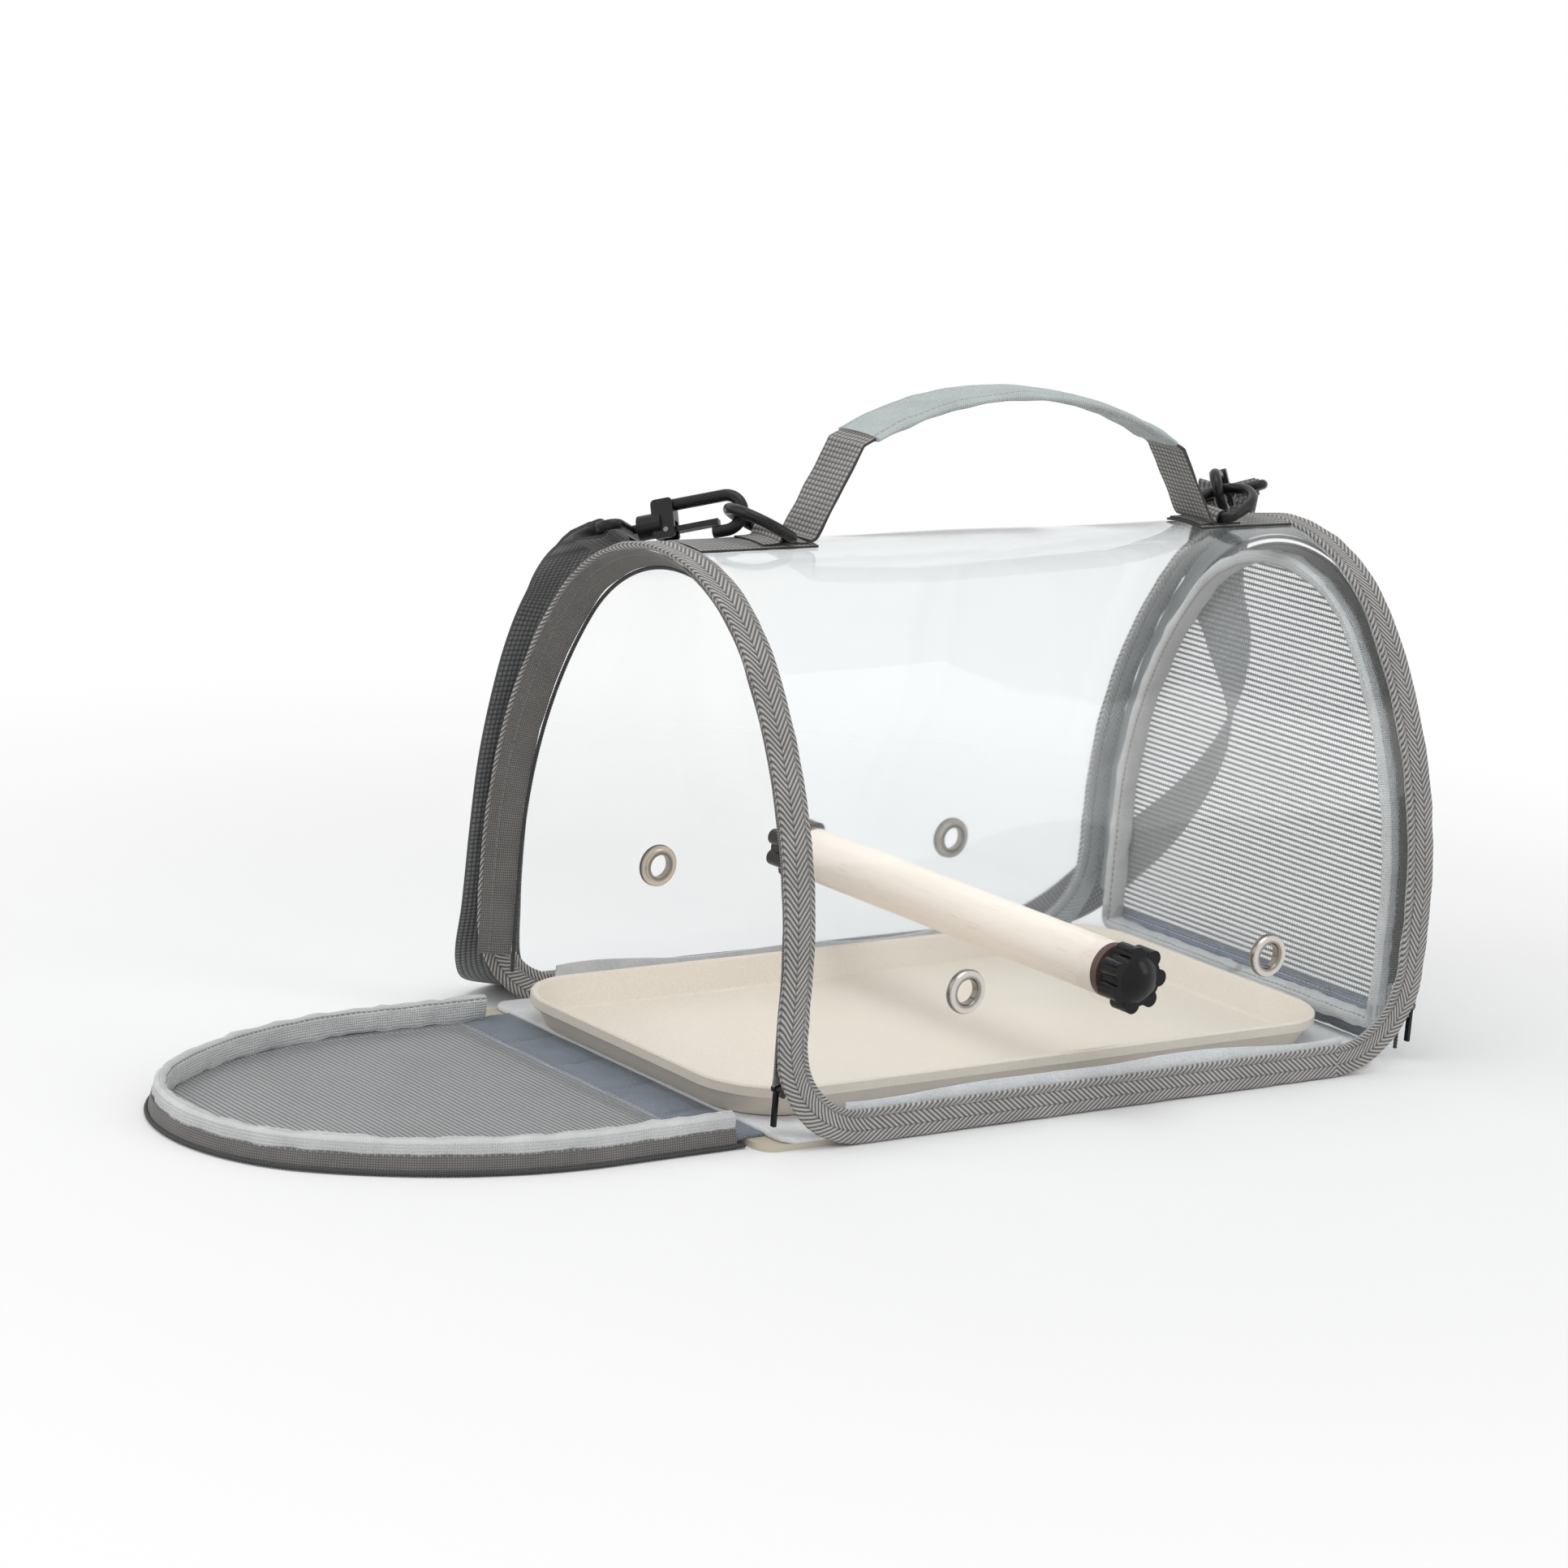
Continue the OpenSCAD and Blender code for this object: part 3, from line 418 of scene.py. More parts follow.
def raise_relief(tree, shader, height, distance, strength=1.0):
    bump = put(tree, "Bump", None, Strength=strength, Distance=distance, Height=height)
    tree.links.new(bump.outputs[0], shader.inputs["Normal"])


clear_film, tree, shader, layout = new_finish("clear_film")
haze = clouds(tree, layout["Object"], 30.0, 4.0)
cloudy = work_out(tree, "MULTIPLY_ADD", haze, 0.05, 0.015)
tint = blend_colours(tree, haze, (0.945, 0.965, 0.970, 1), (0.975, 0.985, 0.988, 1))
feed(tree, shader, Base_Color=tint, Roughness=cloudy, Transmission_Weight=1.0, IOR=1.28)
raise_relief(tree, shader, clouds(tree, layout["Object"], 9.0, 1.0), 0.004, 0.5)
path = put(tree, "LightPath")
passing = put(tree, "BsdfTransparent", None, Color=(0.95, 0.965, 0.97, 1))
mixed = put(tree, "MixShader", None, i0=path.outputs["Is Shadow Ray"], i1=shader.outputs[0],
            i2=passing.outputs[0])
tree.links.new(mixed.outputs[0], tree.nodes["Material Output"].inputs[0])
settle(clear_sheet, clear_film, "clear_film", "body", "clear_shell")
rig.sheet(clear_sheet, flat=(0.376, 0.594), held="stretched", area=0.2205,
         rests_on=["near_binding", "far_binding"])


# Edge binding: grey herringbone tape folded over the edge of the sheet and stitched through.
# It runs up, over and down each end in one length, round the lower corners and along both sides.
TAPE_WIDE, TAPE_LIFT = 0.015, 0.0003
STRAIGHT, BEND_Z = HALF_LENGTH - CORNER_R, CORNER_R + TAPE_LIFT


def start_run(name, points):
    """A closed section as a ring of points, ready to be extruded and spun."""
    bpy.ops.object.select_all(action="DESELECT")
    bpy.ops.mesh.primitive_circle_add(vertices=len(points), radius=0.01)
    run = bpy.context.object
    run.name = name
    for vertex, point in zip(run.data.vertices, points):
        vertex.co = point
    bpy.ops.object.mode_set(mode="EDIT")
    bpy.ops.mesh.select_all(action="SELECT")
    return run


def go(x, y, z, steps=1):
    bpy.ops.mesh.extrude_repeat(steps=steps, offset=(x / steps, y / steps, z / steps))


def turn_round(angle, centre, axis, steps):
    bpy.ops.mesh.spin(steps=steps, angle=angle, center=centre, axis=axis)


def finish_run(run):
    """Joins the ends that meet, caps the open ones and faces every wall outwards."""
    bpy.ops.mesh.select_all(action="SELECT")
    bpy.ops.mesh.remove_doubles(threshold=0.00001)
    bpy.ops.mesh.fill_holes(sides=0)
    bpy.ops.mesh.select_all(action="SELECT")
    bpy.ops.mesh.normals_make_consistent(inside=False)
    bpy.ops.object.mode_set(mode="OBJECT")
    return run


def over_arch(low, fine=1.0):
    """Carries a section from the height low on the near leg over the arch and down the far leg."""
    side_steps = max(2, round(16 * fine))
    crown_steps = max(2, round(34 * fine))
    leg_steps = max(1, round(LEG / 0.008 * fine))
    go(0, 0, LEG - low, leg_steps)
    turn_round(SIDE_TURN, (0, SIDE_Y, LEG), (1, 0, 0), side_steps)
    turn_round(math.pi - 2 * SIDE_TURN, (0, 0, CROWN_Z), (1, 0, 0), crown_steps)
    turn_round(SIDE_TURN, (0, -SIDE_Y, LEG), (1, 0, 0), side_steps)
    go(0, 0, low - LEG, leg_steps)


def lay_uv(piece, measure):
    """Lays out the surface in metres: measure(point) gives the length along and the width across."""
    if not piece.data.uv_layers:
        piece.data.uv_layers.new(name="UVMap")
    layer = piece.data.uv_layers[0].data
    known = [measure(vertex.co) for vertex in piece.data.vertices]
    for face in piece.data.polygons:
        for corner in face.loop_indices:
            layer[corner].uv = known[piece.data.loops[corner].vertex_index]


def crease(piece, amount, size, seed=0.0):
    """Small uneven swells, as hand-sewn cloth has."""
    piece.data.update()
    normals = [vertex.normal.copy() for vertex in piece.data.vertices]
    for vertex, normal in zip(piece.data.vertices, normals):
        vertex.co += normal * amount * noise.noise(vertex.co / size + Vector((seed, 0, 0)))


def tape_section():
    """Folded tape in section: its distance inside the edge of the sheet, and its depth from the fold."""
    wide = TAPE_WIDE
    fold = [(0.0004 + 0.0016 * math.cos(a), 0.0016 - 0.0016 * math.sin(a))
            for a in (math.pi, 2.6, 2.1, 1.57, 1.05, 0.55, 0)]
    outer = [(0.0002, wide), (-0.0010, wide - 0.0002), (-0.0013, wide - 0.0010), (-0.0012, wide * 0.6)]
    inner = [(0.0020, wide * 0.6), (0.0021, wide - 0.0010), (0.0018, wide - 0.0002), (0.0006, wide)]
    return outer + fold + inner


def end_binding(name, side):
    """side is -1 for the front end and 1 for the rear."""
    bend = (side * STRAIGHT, 0, BEND_Z)
    points = [(bend[0], inset - HALF_WIDTH, TAPE_LIFT + depth) for inset, depth in tape_section()]
    run = start_run(name, points)
    turn_round(math.pi / 2, bend, (0, side, 0), 12)
    over_arch(BEND_Z)
    turn_round(math.pi / 2, bend, (0, -side, 0), 12)
    return finish_run(run)


def binding_measure(point):
    along, inset = arch_measure(point.y, point.z)
    depth = HALF_LENGTH - abs(point.x)
    beyond = abs(point.x) - STRAIGHT
    if point.z < BEND_Z and beyond >= -0.0001:
        depth = CORNER_R - math.hypot(BEND_Z - point.z, beyond)
        along = BEND_Z - CORNER_R * math.atan2(BEND_Z - point.z, beyond)
        along = along if point.y < 0 else ARCH_LENGTH - along
    return along, depth + max(inset, 0)


def side_measure(point):
    along = BEND_Z - CORNER_R * math.pi / 2 - (point.x + STRAIGHT)
    return along, point.z - TAPE_LIFT + max(HALF_WIDTH - abs(point.y), 0)


bindings = []
for name, side in (("front_tape_binding", -1), ("rear_tape_binding", 1)):
    piece = end_binding(name, side)
    lay_uv(piece, binding_measure)
    crease(piece, 0.0006, 0.011, side)
    smooth(piece, 50)
    bindings.append((piece, name.replace("_tape", "")))
for name, side in (("near_tape_binding", -1), ("far_tape_binding", 1)):
    points = [(-STRAIGHT, side * (HALF_WIDTH - inset), TAPE_LIFT + depth) for inset, depth in tape_section()]
    piece = start_run(name, points)
    go(2 * STRAIGHT, 0, 0, 40)
    finish_run(piece)
    lay_uv(piece, side_measure)
    crease(piece, 0.0006, 0.011, side)
    smooth(piece, 50)
    bindings.append((piece, name.replace("_tape", "")))


def new_effect(name, inputs, outputs):
    """A shared effect with named inputs and outputs."""
    group = bpy.data.node_groups.new(name, "ShaderNodeTree")
    for label, kind, value in inputs:
        socket = group.interface.new_socket(label, in_out="INPUT", socket_type="NodeSocket" + kind)
        if value is not None:
            socket.default_value = value
    for label, kind in outputs:
        group.interface.new_socket(label, in_out="OUTPUT", socket_type="NodeSocket" + kind)
    start = group.nodes.new("NodeGroupInput")
    end = group.nodes.new("NodeGroupOutput")
    return group, start.outputs, end.inputs


def use_effect(tree, group, **sockets):
    node = put(tree, "Group", {"node_tree": group})
    feed(tree, node, **sockets)
    return node.outputs


herringbone, given, wanted = new_effect(
    "herringbone", [("Vector", "Vector", None), ("Rib", "Float", 0.004), ("Thread", "Float", 0.0012)],
    [("Height", "Float"), ("Shade", "Float")])
place = put(herringbone, "SeparateXYZ", None, i0=given["Vector"])
zigzag = work_out(herringbone, "PINGPONG", place.outputs[1], given["Rib"])
slant = work_out(herringbone, "MULTIPLY_ADD", zigzag, 1.3, place.outputs[0])
phase = work_out(herringbone, "DIVIDE", slant, given["Thread"])
wave = work_out(herringbone, "SINE", work_out(herringbone, "MULTIPLY", phase, 2 * math.pi))
raised = work_out(herringbone, "MULTIPLY_ADD", wave, 0.5, 0.5)
turning = work_out(herringbone, "LESS_THAN", work_out(herringbone, "PINGPONG", zigzag, work_out(
    herringbone, "MULTIPLY", given["Rib"], 0.5)), 0.00035)
herringbone.links.new(raised, wanted["Height"])
shade = work_out(herringbone, "MULTIPLY", work_out(herringbone, "POWER", raised, 0.7),
                 work_out(herringbone, "MULTIPLY_ADD", turning, -0.45, 1.0))
herringbone.links.new(shade, wanted["Shade"])

unevenness, given, wanted = new_effect(
    "unevenness", [("Vector", "Vector", None), ("Scale", "Float", 40.0), ("Amount", "Float", 0.2)],
    [("Value", "Float")])
cloud = put(unevenness, "TexNoise", None, Vector=given["Vector"], Scale=given["Scale"], Detail=5.0,
            Roughness=0.6)
spread = work_out(unevenness, "SUBTRACT", cloud.outputs[0], 0.5)
unevenness.links.new(work_out(unevenness, "MULTIPLY_ADD", spread, given["Amount"], 1.0), wanted["Value"])

stitching, given, wanted = new_effect(
    "stitching", [("Vector", "Vector", None), ("Row", "Float", 0.01), ("Length", "Float", 0.003),
                  ("Width", "Float", 0.0007)], [("Mask", "Float"), ("Dip", "Float")])
place = put(stitching, "SeparateXYZ", None, i0=given["Vector"])
off = work_out(stitching, "ABSOLUTE", work_out(stitching, "SUBTRACT", place.outputs[1], given["Row"]))
near_row = work_out(stitching, "LESS_THAN", off, work_out(stitching, "MULTIPLY", given["Width"], 0.5))
step = work_out(stitching, "FRACT", work_out(stitching, "DIVIDE", place.outputs[0], given["Length"]))
thread = work_out(stitching, "LESS_THAN", step, 0.72)
stitching.links.new(work_out(stitching, "MULTIPLY", near_row, thread), wanted["Mask"])
stitching.links.new(ease(stitching, off, 0.0, 0.0016, 1.0, 0.0), wanted["Dip"])


def mark_painted_light(piece, chosen):
    """Marks the part of a cloth that takes painted light: a paler colour where it lies in shade."""
    marks = piece.data.attributes.new("pale", "FLOAT", "POINT").data
    for mark, vertex in zip(marks, piece.data.vertices):
        mark.value = 1.0 if chosen(vertex.co) else 0.0


def vary(tree, colour, value):
    """Makes a colour lighter or darker."""
    return put(tree, "HueSaturation", None, Color=colour, Value=value).outputs[0]


def cloth_finish(name, weave, dark, light, roughness, sheen, relief, row=None, thread=None, pale=None):
    """Cloth from a weave, with uneven colour and soft sheen. Some have a row of stitches, or painted light: a pale
    colour on a marked part that lies in shade.
    """
    finish, tree, shader, layout = new_finish(name)
    surface, spot = layout["UV"], layout["Object"]
    height, shade = weave(tree, surface, spot)
    colour = blend_colours(tree, shade, dark, light)
    # Painted light: where marked, the cloth takes the pale colours, lighter in place of the shade that falls there.
    if pale:
        marked = put(tree, "Attribute", {"attribute_name": "pale"}).outputs["Fac"]
        painted_light_side = blend_colours(tree, shade, [v * 0.75 for v in pale], pale)
        colour = blend_colours(tree, marked, colour, painted_light_side)
    patchy = use_effect(tree, unevenness, Vector=spot, Scale=55.0, Amount=0.45)
    colour = vary(tree, colour, patchy["Value"])
    if row:
        seam = use_effect(tree, stitching, Vector=surface, Row=row, Length=0.0032, Width=0.0008)
        colour = blend_colours(tree, seam["Mask"], colour, thread)
        height = work_out(tree, "MULTIPLY_ADD", seam["Dip"], -1.2, height)
        height = work_out(tree, "MULTIPLY_ADD", seam["Mask"], 0.9, height)
    feed(tree, shader, Base_Color=colour, Roughness=roughness, Sheen_Weight=sheen, Sheen_Roughness=0.4)
    shader.inputs["Specular IOR Level"].default_value = 0.3
    raise_relief(tree, shader, height, relief)
    return finish


def herringbone_weave(tree, surface, spot):
    woven = use_effect(tree, herringbone, Vector=surface, Rib=0.0060, Thread=0.0030)
    return woven["Height"], woven["Shade"]


herringbone_tape = cloth_finish("herringbone_tape", herringbone_weave, (0.075, 0.071, 0.067, 1),
                                (0.62, 0.60, 0.58, 1), 0.72, 0.25, 0.0007, 0.0125, (0.36, 0.35, 0.34, 1),
                                (0.62, 0.66, 0.68, 1))
for piece, node in bindings:
    # Painted light: the inner faces of the rear binding are marked to take the pale colour, where the arch puts them
    # in shade.
    mark_painted_light(piece, lambda point: point.x > 0.15 and arch_measure(point.y, point.z)[1] > 0.0015)
    settle(piece, herringbone_tape, "herringbone_tape", "body", node)


# Zips of the two ends: a woven tape with a black coil along its edge. The front tape leans inwards
# as it hangs open, and the rear one lies flat beside the closed door.
def arch_run(name, section, face_x, side, low, fine=1.0):
    """side is the way from the outer face into the carrier: 1 from the front, -1 from the rear."""
    points = [(face_x + side * depth, inset - HALF_WIDTH, low) for inset, depth in section]
    run = start_run(name, points)
    over_arch(low, fine)
    return finish_run(run)


def arch_uv(piece, face_x):
    def measure(point):
        along, inset = arch_measure(point.y, point.z)
        return along, abs(point.x - face_x) + inset
    lay_uv(piece, measure)


def slanted(start, end, thickness):
    """A thin strip between two points of the section, with rounded edges."""
    (a, b), (c, d) = start, end
    reach = math.hypot(c - a, d - b)
    nx, ny = -(d - b) / reach * thickness / 2, (c - a) / reach * thickness / 2
    mid = ((a + c) / 2, (b + d) / 2)
    return [(a - nx, b - ny), (mid[0] - nx, mid[1] - ny), (c - nx, d - ny),
            (c + nx, d + ny), (mid[0] + nx, mid[1] + ny), (a + nx, b + ny)]


def coil_run(name, inset, depth, face_x, side, low):
    """A zip coil: a plain run, with its turns pressed into it."""
    half_wide, half_high, turn_pitch = 0.0010, 0.0011, 0.0016
    inset, depth = inset + half_wide, depth + half_high
    section = [(inset + half_wide * math.cos(a), depth + half_high * math.sin(a))
               for a in [math.tau * k / 8 for k in range(8)]]
    coil = arch_run(name, section, face_x, side, low, 15)
    centre = face_x + side * depth
    for vertex in coil.data.vertices:
        along, away = arch_measure(vertex.co.y, vertex.co.z)
        tight = 1 - 0.26 * (0.5 + 0.5 * math.cos(math.tau * along / turn_pitch))
        y, z = arch_point(along, inset + (away - inset) * tight)
        if vertex.co.z < LEG:
            z = vertex.co.z
        vertex.co = (centre + (vertex.co.x - centre) * tight, y, z)
    arch_uv(coil, face_x)
    smooth(coil, 60)
    return coil


def worn_finish(name, colour, scale, amount, roughness, scuffed=False, metallic=0.0):
    """One colour, uneven all over. A scuffed finish is uneven in its gloss as well."""
    finish, tree, shader, layout = new_finish(name)
    wear = use_effect(tree, unevenness, Vector=layout["Object"], Scale=scale, Amount=amount)["Value"]
    gloss = work_out(tree, "MULTIPLY", wear, roughness) if scuffed else roughness
    feed(tree, shader, Base_Color=vary(tree, colour, wear), Metallic=metallic, Roughness=gloss)
    return finish, tree, shader, layout


def crossed_threads(tree, surface, scale):
    """From 0 in the gaps to 1 where two threads cross."""
    ends, picks = (put(tree, "TexWave", {"wave_type": "BANDS", "bands_direction": way}, Vector=surface,
                       Scale=scale).outputs[1] for way in "XY")
    return work_out(tree, "MULTIPLY", ends, picks)


def plain_weave(tree, surface, spot):
    height = crossed_threads(tree, surface, 260.0)
    return height, height


zip_tape = cloth_finish("zip_tape", plain_weave, (0.13, 0.124, 0.118, 1), (0.36, 0.345, 0.33, 1), 0.7, 0.15,
                        0.0003, 0.010, (0.24, 0.235, 0.23, 1), (0.62, 0.67, 0.69, 1))
zip_coil = worn_finish("zip_coil", (0.030, 0.031, 0.033, 1), 90.0, 0.7, 0.38, scuffed=True)[0]

for name, face_x, side, inner_depth, coil_depth in (("front", -HALF_LENGTH, 1, 0.0139, 0.0136),
                                                    ("rear", HALF_LENGTH, -1, -0.0003, -0.0018)):
    section = slanted((0.0022, 0.0006), (0.0094, inner_depth), 0.0010)
    piece = arch_run(name + "_zip_tape_cloth", section, face_x, side, 0.030)
    arch_uv(piece, face_x)
    crease(piece, 0.0005, 0.014, side)
    smooth(piece, 50)
    # Painted light: only the rear zip tape is marked to take the pale colour, where it lies in shade inside the arch.
    mark_painted_light(piece, lambda point: point.x > 0)
    settle(piece, zip_tape, "zip_tape", "body", name + "_zip_tape")
    piece = coil_run(name + "_zip_teeth", 0.0096, coil_depth, face_x, side, 0.022)
    settle(piece, zip_coil, "zip_coil", "body", name + "_zip_coil")


# Doors: a panel of open mesh sewn into a soft padded rim, with a strip of zip tape and its coil
# round the outside. The front door lies open on the floor and the rear door is zipped shut.
FRONT_FACE, REAR_FACE = -0.1932, 0.1907
HINGE_X, HINGE_Z = -0.1895, 0.004
RIM_INNER, RIM_OUTER, RIM_CORNER, NET_INSET = 0.0228, 0.0164, 0.024, 0.0172
RIM_LOW = HINGE_Z + 0.009 - RIM_OUTER
DOOR_OPEN = (Matrix.Translation((HINGE_X, 0, HINGE_Z)) @ Matrix.Rotation(math.radians(-90), 4, "Y")
             @ Matrix.Translation((-HINGE_X, 0, -HINGE_Z)))


def lay_open(piece):
    piece.data.transform(DOOR_OPEN)
    piece.data.update()


def rim_section():
    inner, outer, low, high = RIM_INNER, RIM_OUTER, 0.0043, 0.0152
    mid, half = (inner + outer) / 2, (inner - outer) / 2
    crown = [(mid + half * math.cos(a), high - half + half * math.sin(a))
             for a in [math.pi - math.pi * k / 8 for k in range(9)]]
    return [(outer + 0.0006, low), (outer, low + 0.0012), (outer - 0.0002, 0.0085)] + crown + [
        (inner + 0.0002, 0.0085), (inner, low + 0.0012), (inner - 0.0006, low)]


def rim_ring(name, face_x, side):
    """The rear rim is closed all round, with a bar along its foot and round lower corners."""
    run = start_run(name, [(face_x + side * depth, 0, RIM_LOW + inset) for inset, depth in rim_section()])
    wide, bend_z = HALF_WIDTH - RIM_CORNER, RIM_LOW + RIM_CORNER
    go(0, -wide, 0, 24)
    turn_round(math.pi / 2, (0, -wide, bend_z), (1, 0, 0), 8)
    over_arch(bend_z)
    turn_round(math.pi / 2, (0, wide, bend_z), (1, 0, 0), 8)
    go(0, -wide, 0, 24)
    return finish_run(run)


def rim_measure(face_x):
    def measure(point):
        along, inset = arch_measure(point.y, point.z)
        if point.z < RIM_LOW + RIM_CORNER and face_x > 0:
            along = point.z - (HALF_WIDTH - abs(point.y))
            inset = min(point.z - RIM_LOW, HALF_WIDTH - abs(point.y))
            along = along if point.y < 0 else ARCH_LENGTH - along
        return along, abs(point.x - face_x) - (inset - RIM_OUTER)
    return measure


def half_span(z, inset):
    """Half the width of the arch at a height."""
    if z < LEG:
        return HALF_WIDTH - inset
    join = CROWN_Z + (CROWN_R - inset) * 0.6
    if z < join:
        return math.sqrt((SIDE_R - inset) ** 2 - (z - LEG) ** 2) - SIDE_Y
    return math.sqrt(max(0.0, (CROWN_R - inset) ** 2 - (z - CROWN_Z) ** 2))


def face_outwards(piece, merged=None):
    """Turns every face outwards, once points closer than merged have been joined."""
    bpy.context.view_layer.objects.active = piece
    bpy.ops.object.mode_set(mode="EDIT")
    bpy.ops.mesh.select_all(action="SELECT")
    if merged:
        bpy.ops.mesh.remove_doubles(threshold=merged)
    bpy.ops.mesh.normals_make_consistent(inside=False)
    bpy.ops.object.mode_set(mode="OBJECT")


def mesh_panel(name, face_x, side, low):
    top = CROWN_Z + CROWN_R - NET_INSET

    def place(u, v):
        z = low + (top - low) * math.sin(v * math.pi / 2)
        y = (2 * u - 1) * half_span(min(z, top - 0.00002), NET_INSET)
        hang = math.sin(math.pi * u) * math.sin(math.pi * v)
        ripple = 0.0011 * noise.noise(Vector((y * 14, z * 11, face_x * 10))) * min(1, 3 * hang)
        return face_x + side * (0.0040 + ripple), y, z
    panel = start_sheet(name, 60, 70, place)
    lay_uv(panel, lambda point: (point.y, point.z))
    thicken(panel, 0.0004)
    face_outwards(panel, 0.00002)
    smooth(panel)
    return panel


door_mesh, tree, shader, layout = new_finish("door_mesh")
place = put(tree, "SeparateXYZ", None, i0=layout["UV"])
stripe = work_out(tree, "FRACT", work_out(tree, "DIVIDE", place.outputs[1], 0.0027))
bar = work_out(tree, "FRACT", work_out(tree, "DIVIDE", place.outputs[0], 0.0016))
# Painted shade: every other band across the mesh is an opaque dark grey that stands in for the shadow seen through the
# gaps; between them the white yarn is mostly see-through.
painted_shade_stripe = work_out(tree, "LESS_THAN", stripe, 0.42)
barred = work_out(tree, "LESS_THAN", bar, 0.30)
cover = work_out(tree, "MAXIMUM", painted_shade_stripe, work_out(tree, "MULTIPLY_ADD", barred, 0.45, 0.10))
patchy = use_effect(tree, unevenness, Vector=layout["Object"], Scale=35.0, Amount=0.3)["Value"]
yarn_and_painted_shade = blend_colours(tree, painted_shade_stripe, (0.85, 0.87, 0.88, 1), (0.235, 0.245, 0.25, 1))
feed(tree, shader, Base_Color=vary(tree, yarn_and_painted_shade, patchy), Roughness=0.6, Alpha=cover, Sheen_Weight=0.1)
round_thread = work_out(tree, "PINGPONG", stripe, 0.21)
raise_relief(tree, shader, work_out(tree, "MULTIPLY_ADD", barred, 0.1, round_thread), 0.0008)


def canvas_weave(tree, surface, spot):
    weave = plain_weave(tree, surface, spot)
    return work_out(tree, "MULTIPLY_ADD", clouds(tree, spot, 70.0, 3.0), 2.2, weave[0]), weave[1]


rim_cloth = cloth_finish("rim_tape", canvas_weave, (0.66, 0.665, 0.67, 1), (0.93, 0.935, 0.94, 1), 0.75, 0.25,
                         0.0006, 0.0082, (0.30, 0.30, 0.30, 1))

for name, face_x, side in (("front_door", FRONT_FACE, 1), ("rear_door", REAR_FACE, -1)):
    pieces = []
    panel = mesh_panel(name + "_net", face_x, side, HINGE_Z + 0.019)
    pieces.append((panel, door_mesh, "door_mesh", name + "_mesh"))
    if side > 0:
        rim = arch_run(name + "_padded_rim", rim_section(), face_x, side, HINGE_Z + 0.005, 1.6)
    else:
        rim = rim_ring(name + "_padded_rim", face_x, side)
    lay_uv(rim, rim_measure(face_x))
    crease(rim, 0.0011, 0.009, side)
    crease(rim, 0.0006, 0.0045, side + 5)
    smooth(rim, 60)
    pieces.append((rim, rim_cloth, "rim_tape", name + "_rim"))
    section = slanted((0.0150, 0.0010), (0.0161, 0.0080), 0.0010)
    tape = arch_run(name + "_edge_tape", section, face_x, side, HINGE_Z + (0.005 if side > 0 else 0.033))
    arch_uv(tape, face_x)
    crease(tape, 0.0004, 0.012, side)
    smooth(tape, 50)
    pieces.append((tape, zip_tape, "zip_tape", name + "_tape"))
    teeth = coil_run(name + "_teeth", 0.0130, 0.0, face_x, side, HINGE_Z + 0.001)
    pieces.append((teeth, zip_coil, "zip_coil", name + "_coil"))
    for piece, finish, slot, node in pieces:
        if side > 0:
            lay_open(piece)
        settle(piece, finish, slot, name, node)
    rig.sheet(panel, flat=(0.1976, 0.2000), held="stretched", area=0.0325, rests_on=[rim.name])


# Hinge strips: padded cotton, quilted into five parts, that joins each door to the base. The front one
# reaches in over the base, under the lip of the tray.
def hinge_pad(name, face_x, side, start, base, puff):
    """start is the height of the edge at the base, base the cloth's depth and puff the padding's."""
    half_wide, top = 0.0985, 0.0239

    def place(u, v):
        y = (2 * u - 1) * half_wide
        z = start + (top - start) * v
        rise = 0.0007 * min(1, max(0, (0.0060 - z) / 0.0035))
        pillow = abs(math.sin(math.pi * 5 * u)) ** 0.35 * math.sin(math.pi * v) ** 0.5
        depth = base + rise + puff * pillow + 0.0002 * noise.noise(Vector((y * 60, z * 90, side)))
        return face_x + side * depth, y, z
    pad = start_sheet(name, 100, 24, place)
    lay_uv(pad, lambda point: (point.y, point.z))
    thicken(pad, 0.0013, side)
    face_outwards(pad)
    smooth(pad, 60)
    return pad


quilted_cotton = cloth_finish("quilted_cotton", canvas_weave, (0.16, 0.19, 0.235, 1),
                              (0.36, 0.405, 0.47, 1), 0.8, 0.3, 0.0004, 0.0215, (0.33, 0.36, 0.41, 1))
pad = hinge_pad("front_hinge_pad", FRONT_FACE, 1, -0.0070, 0.0022, 0.0013)
lay_open(pad)
settle(pad, quilted_cotton, "quilted_cotton", None, "front_hinge_strip")
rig.blend(pad, "body", "front_door", (-0.1895, 0, 0.003), (-0.2005, 0, 0.003))
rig.padded(pad, fill=0.4)
pad = hinge_pad("rear_hinge_pad", REAR_FACE, -1, 0.0060, 0.0026, 0.0022)
settle(pad, quilted_cotton, "quilted_cotton", None, "rear_hinge_strip")
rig.blend(pad, "body", "rear_door", (0.187, 0, 0.004), (0.187, 0, 0.012))
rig.padded(pad, fill=0.4)


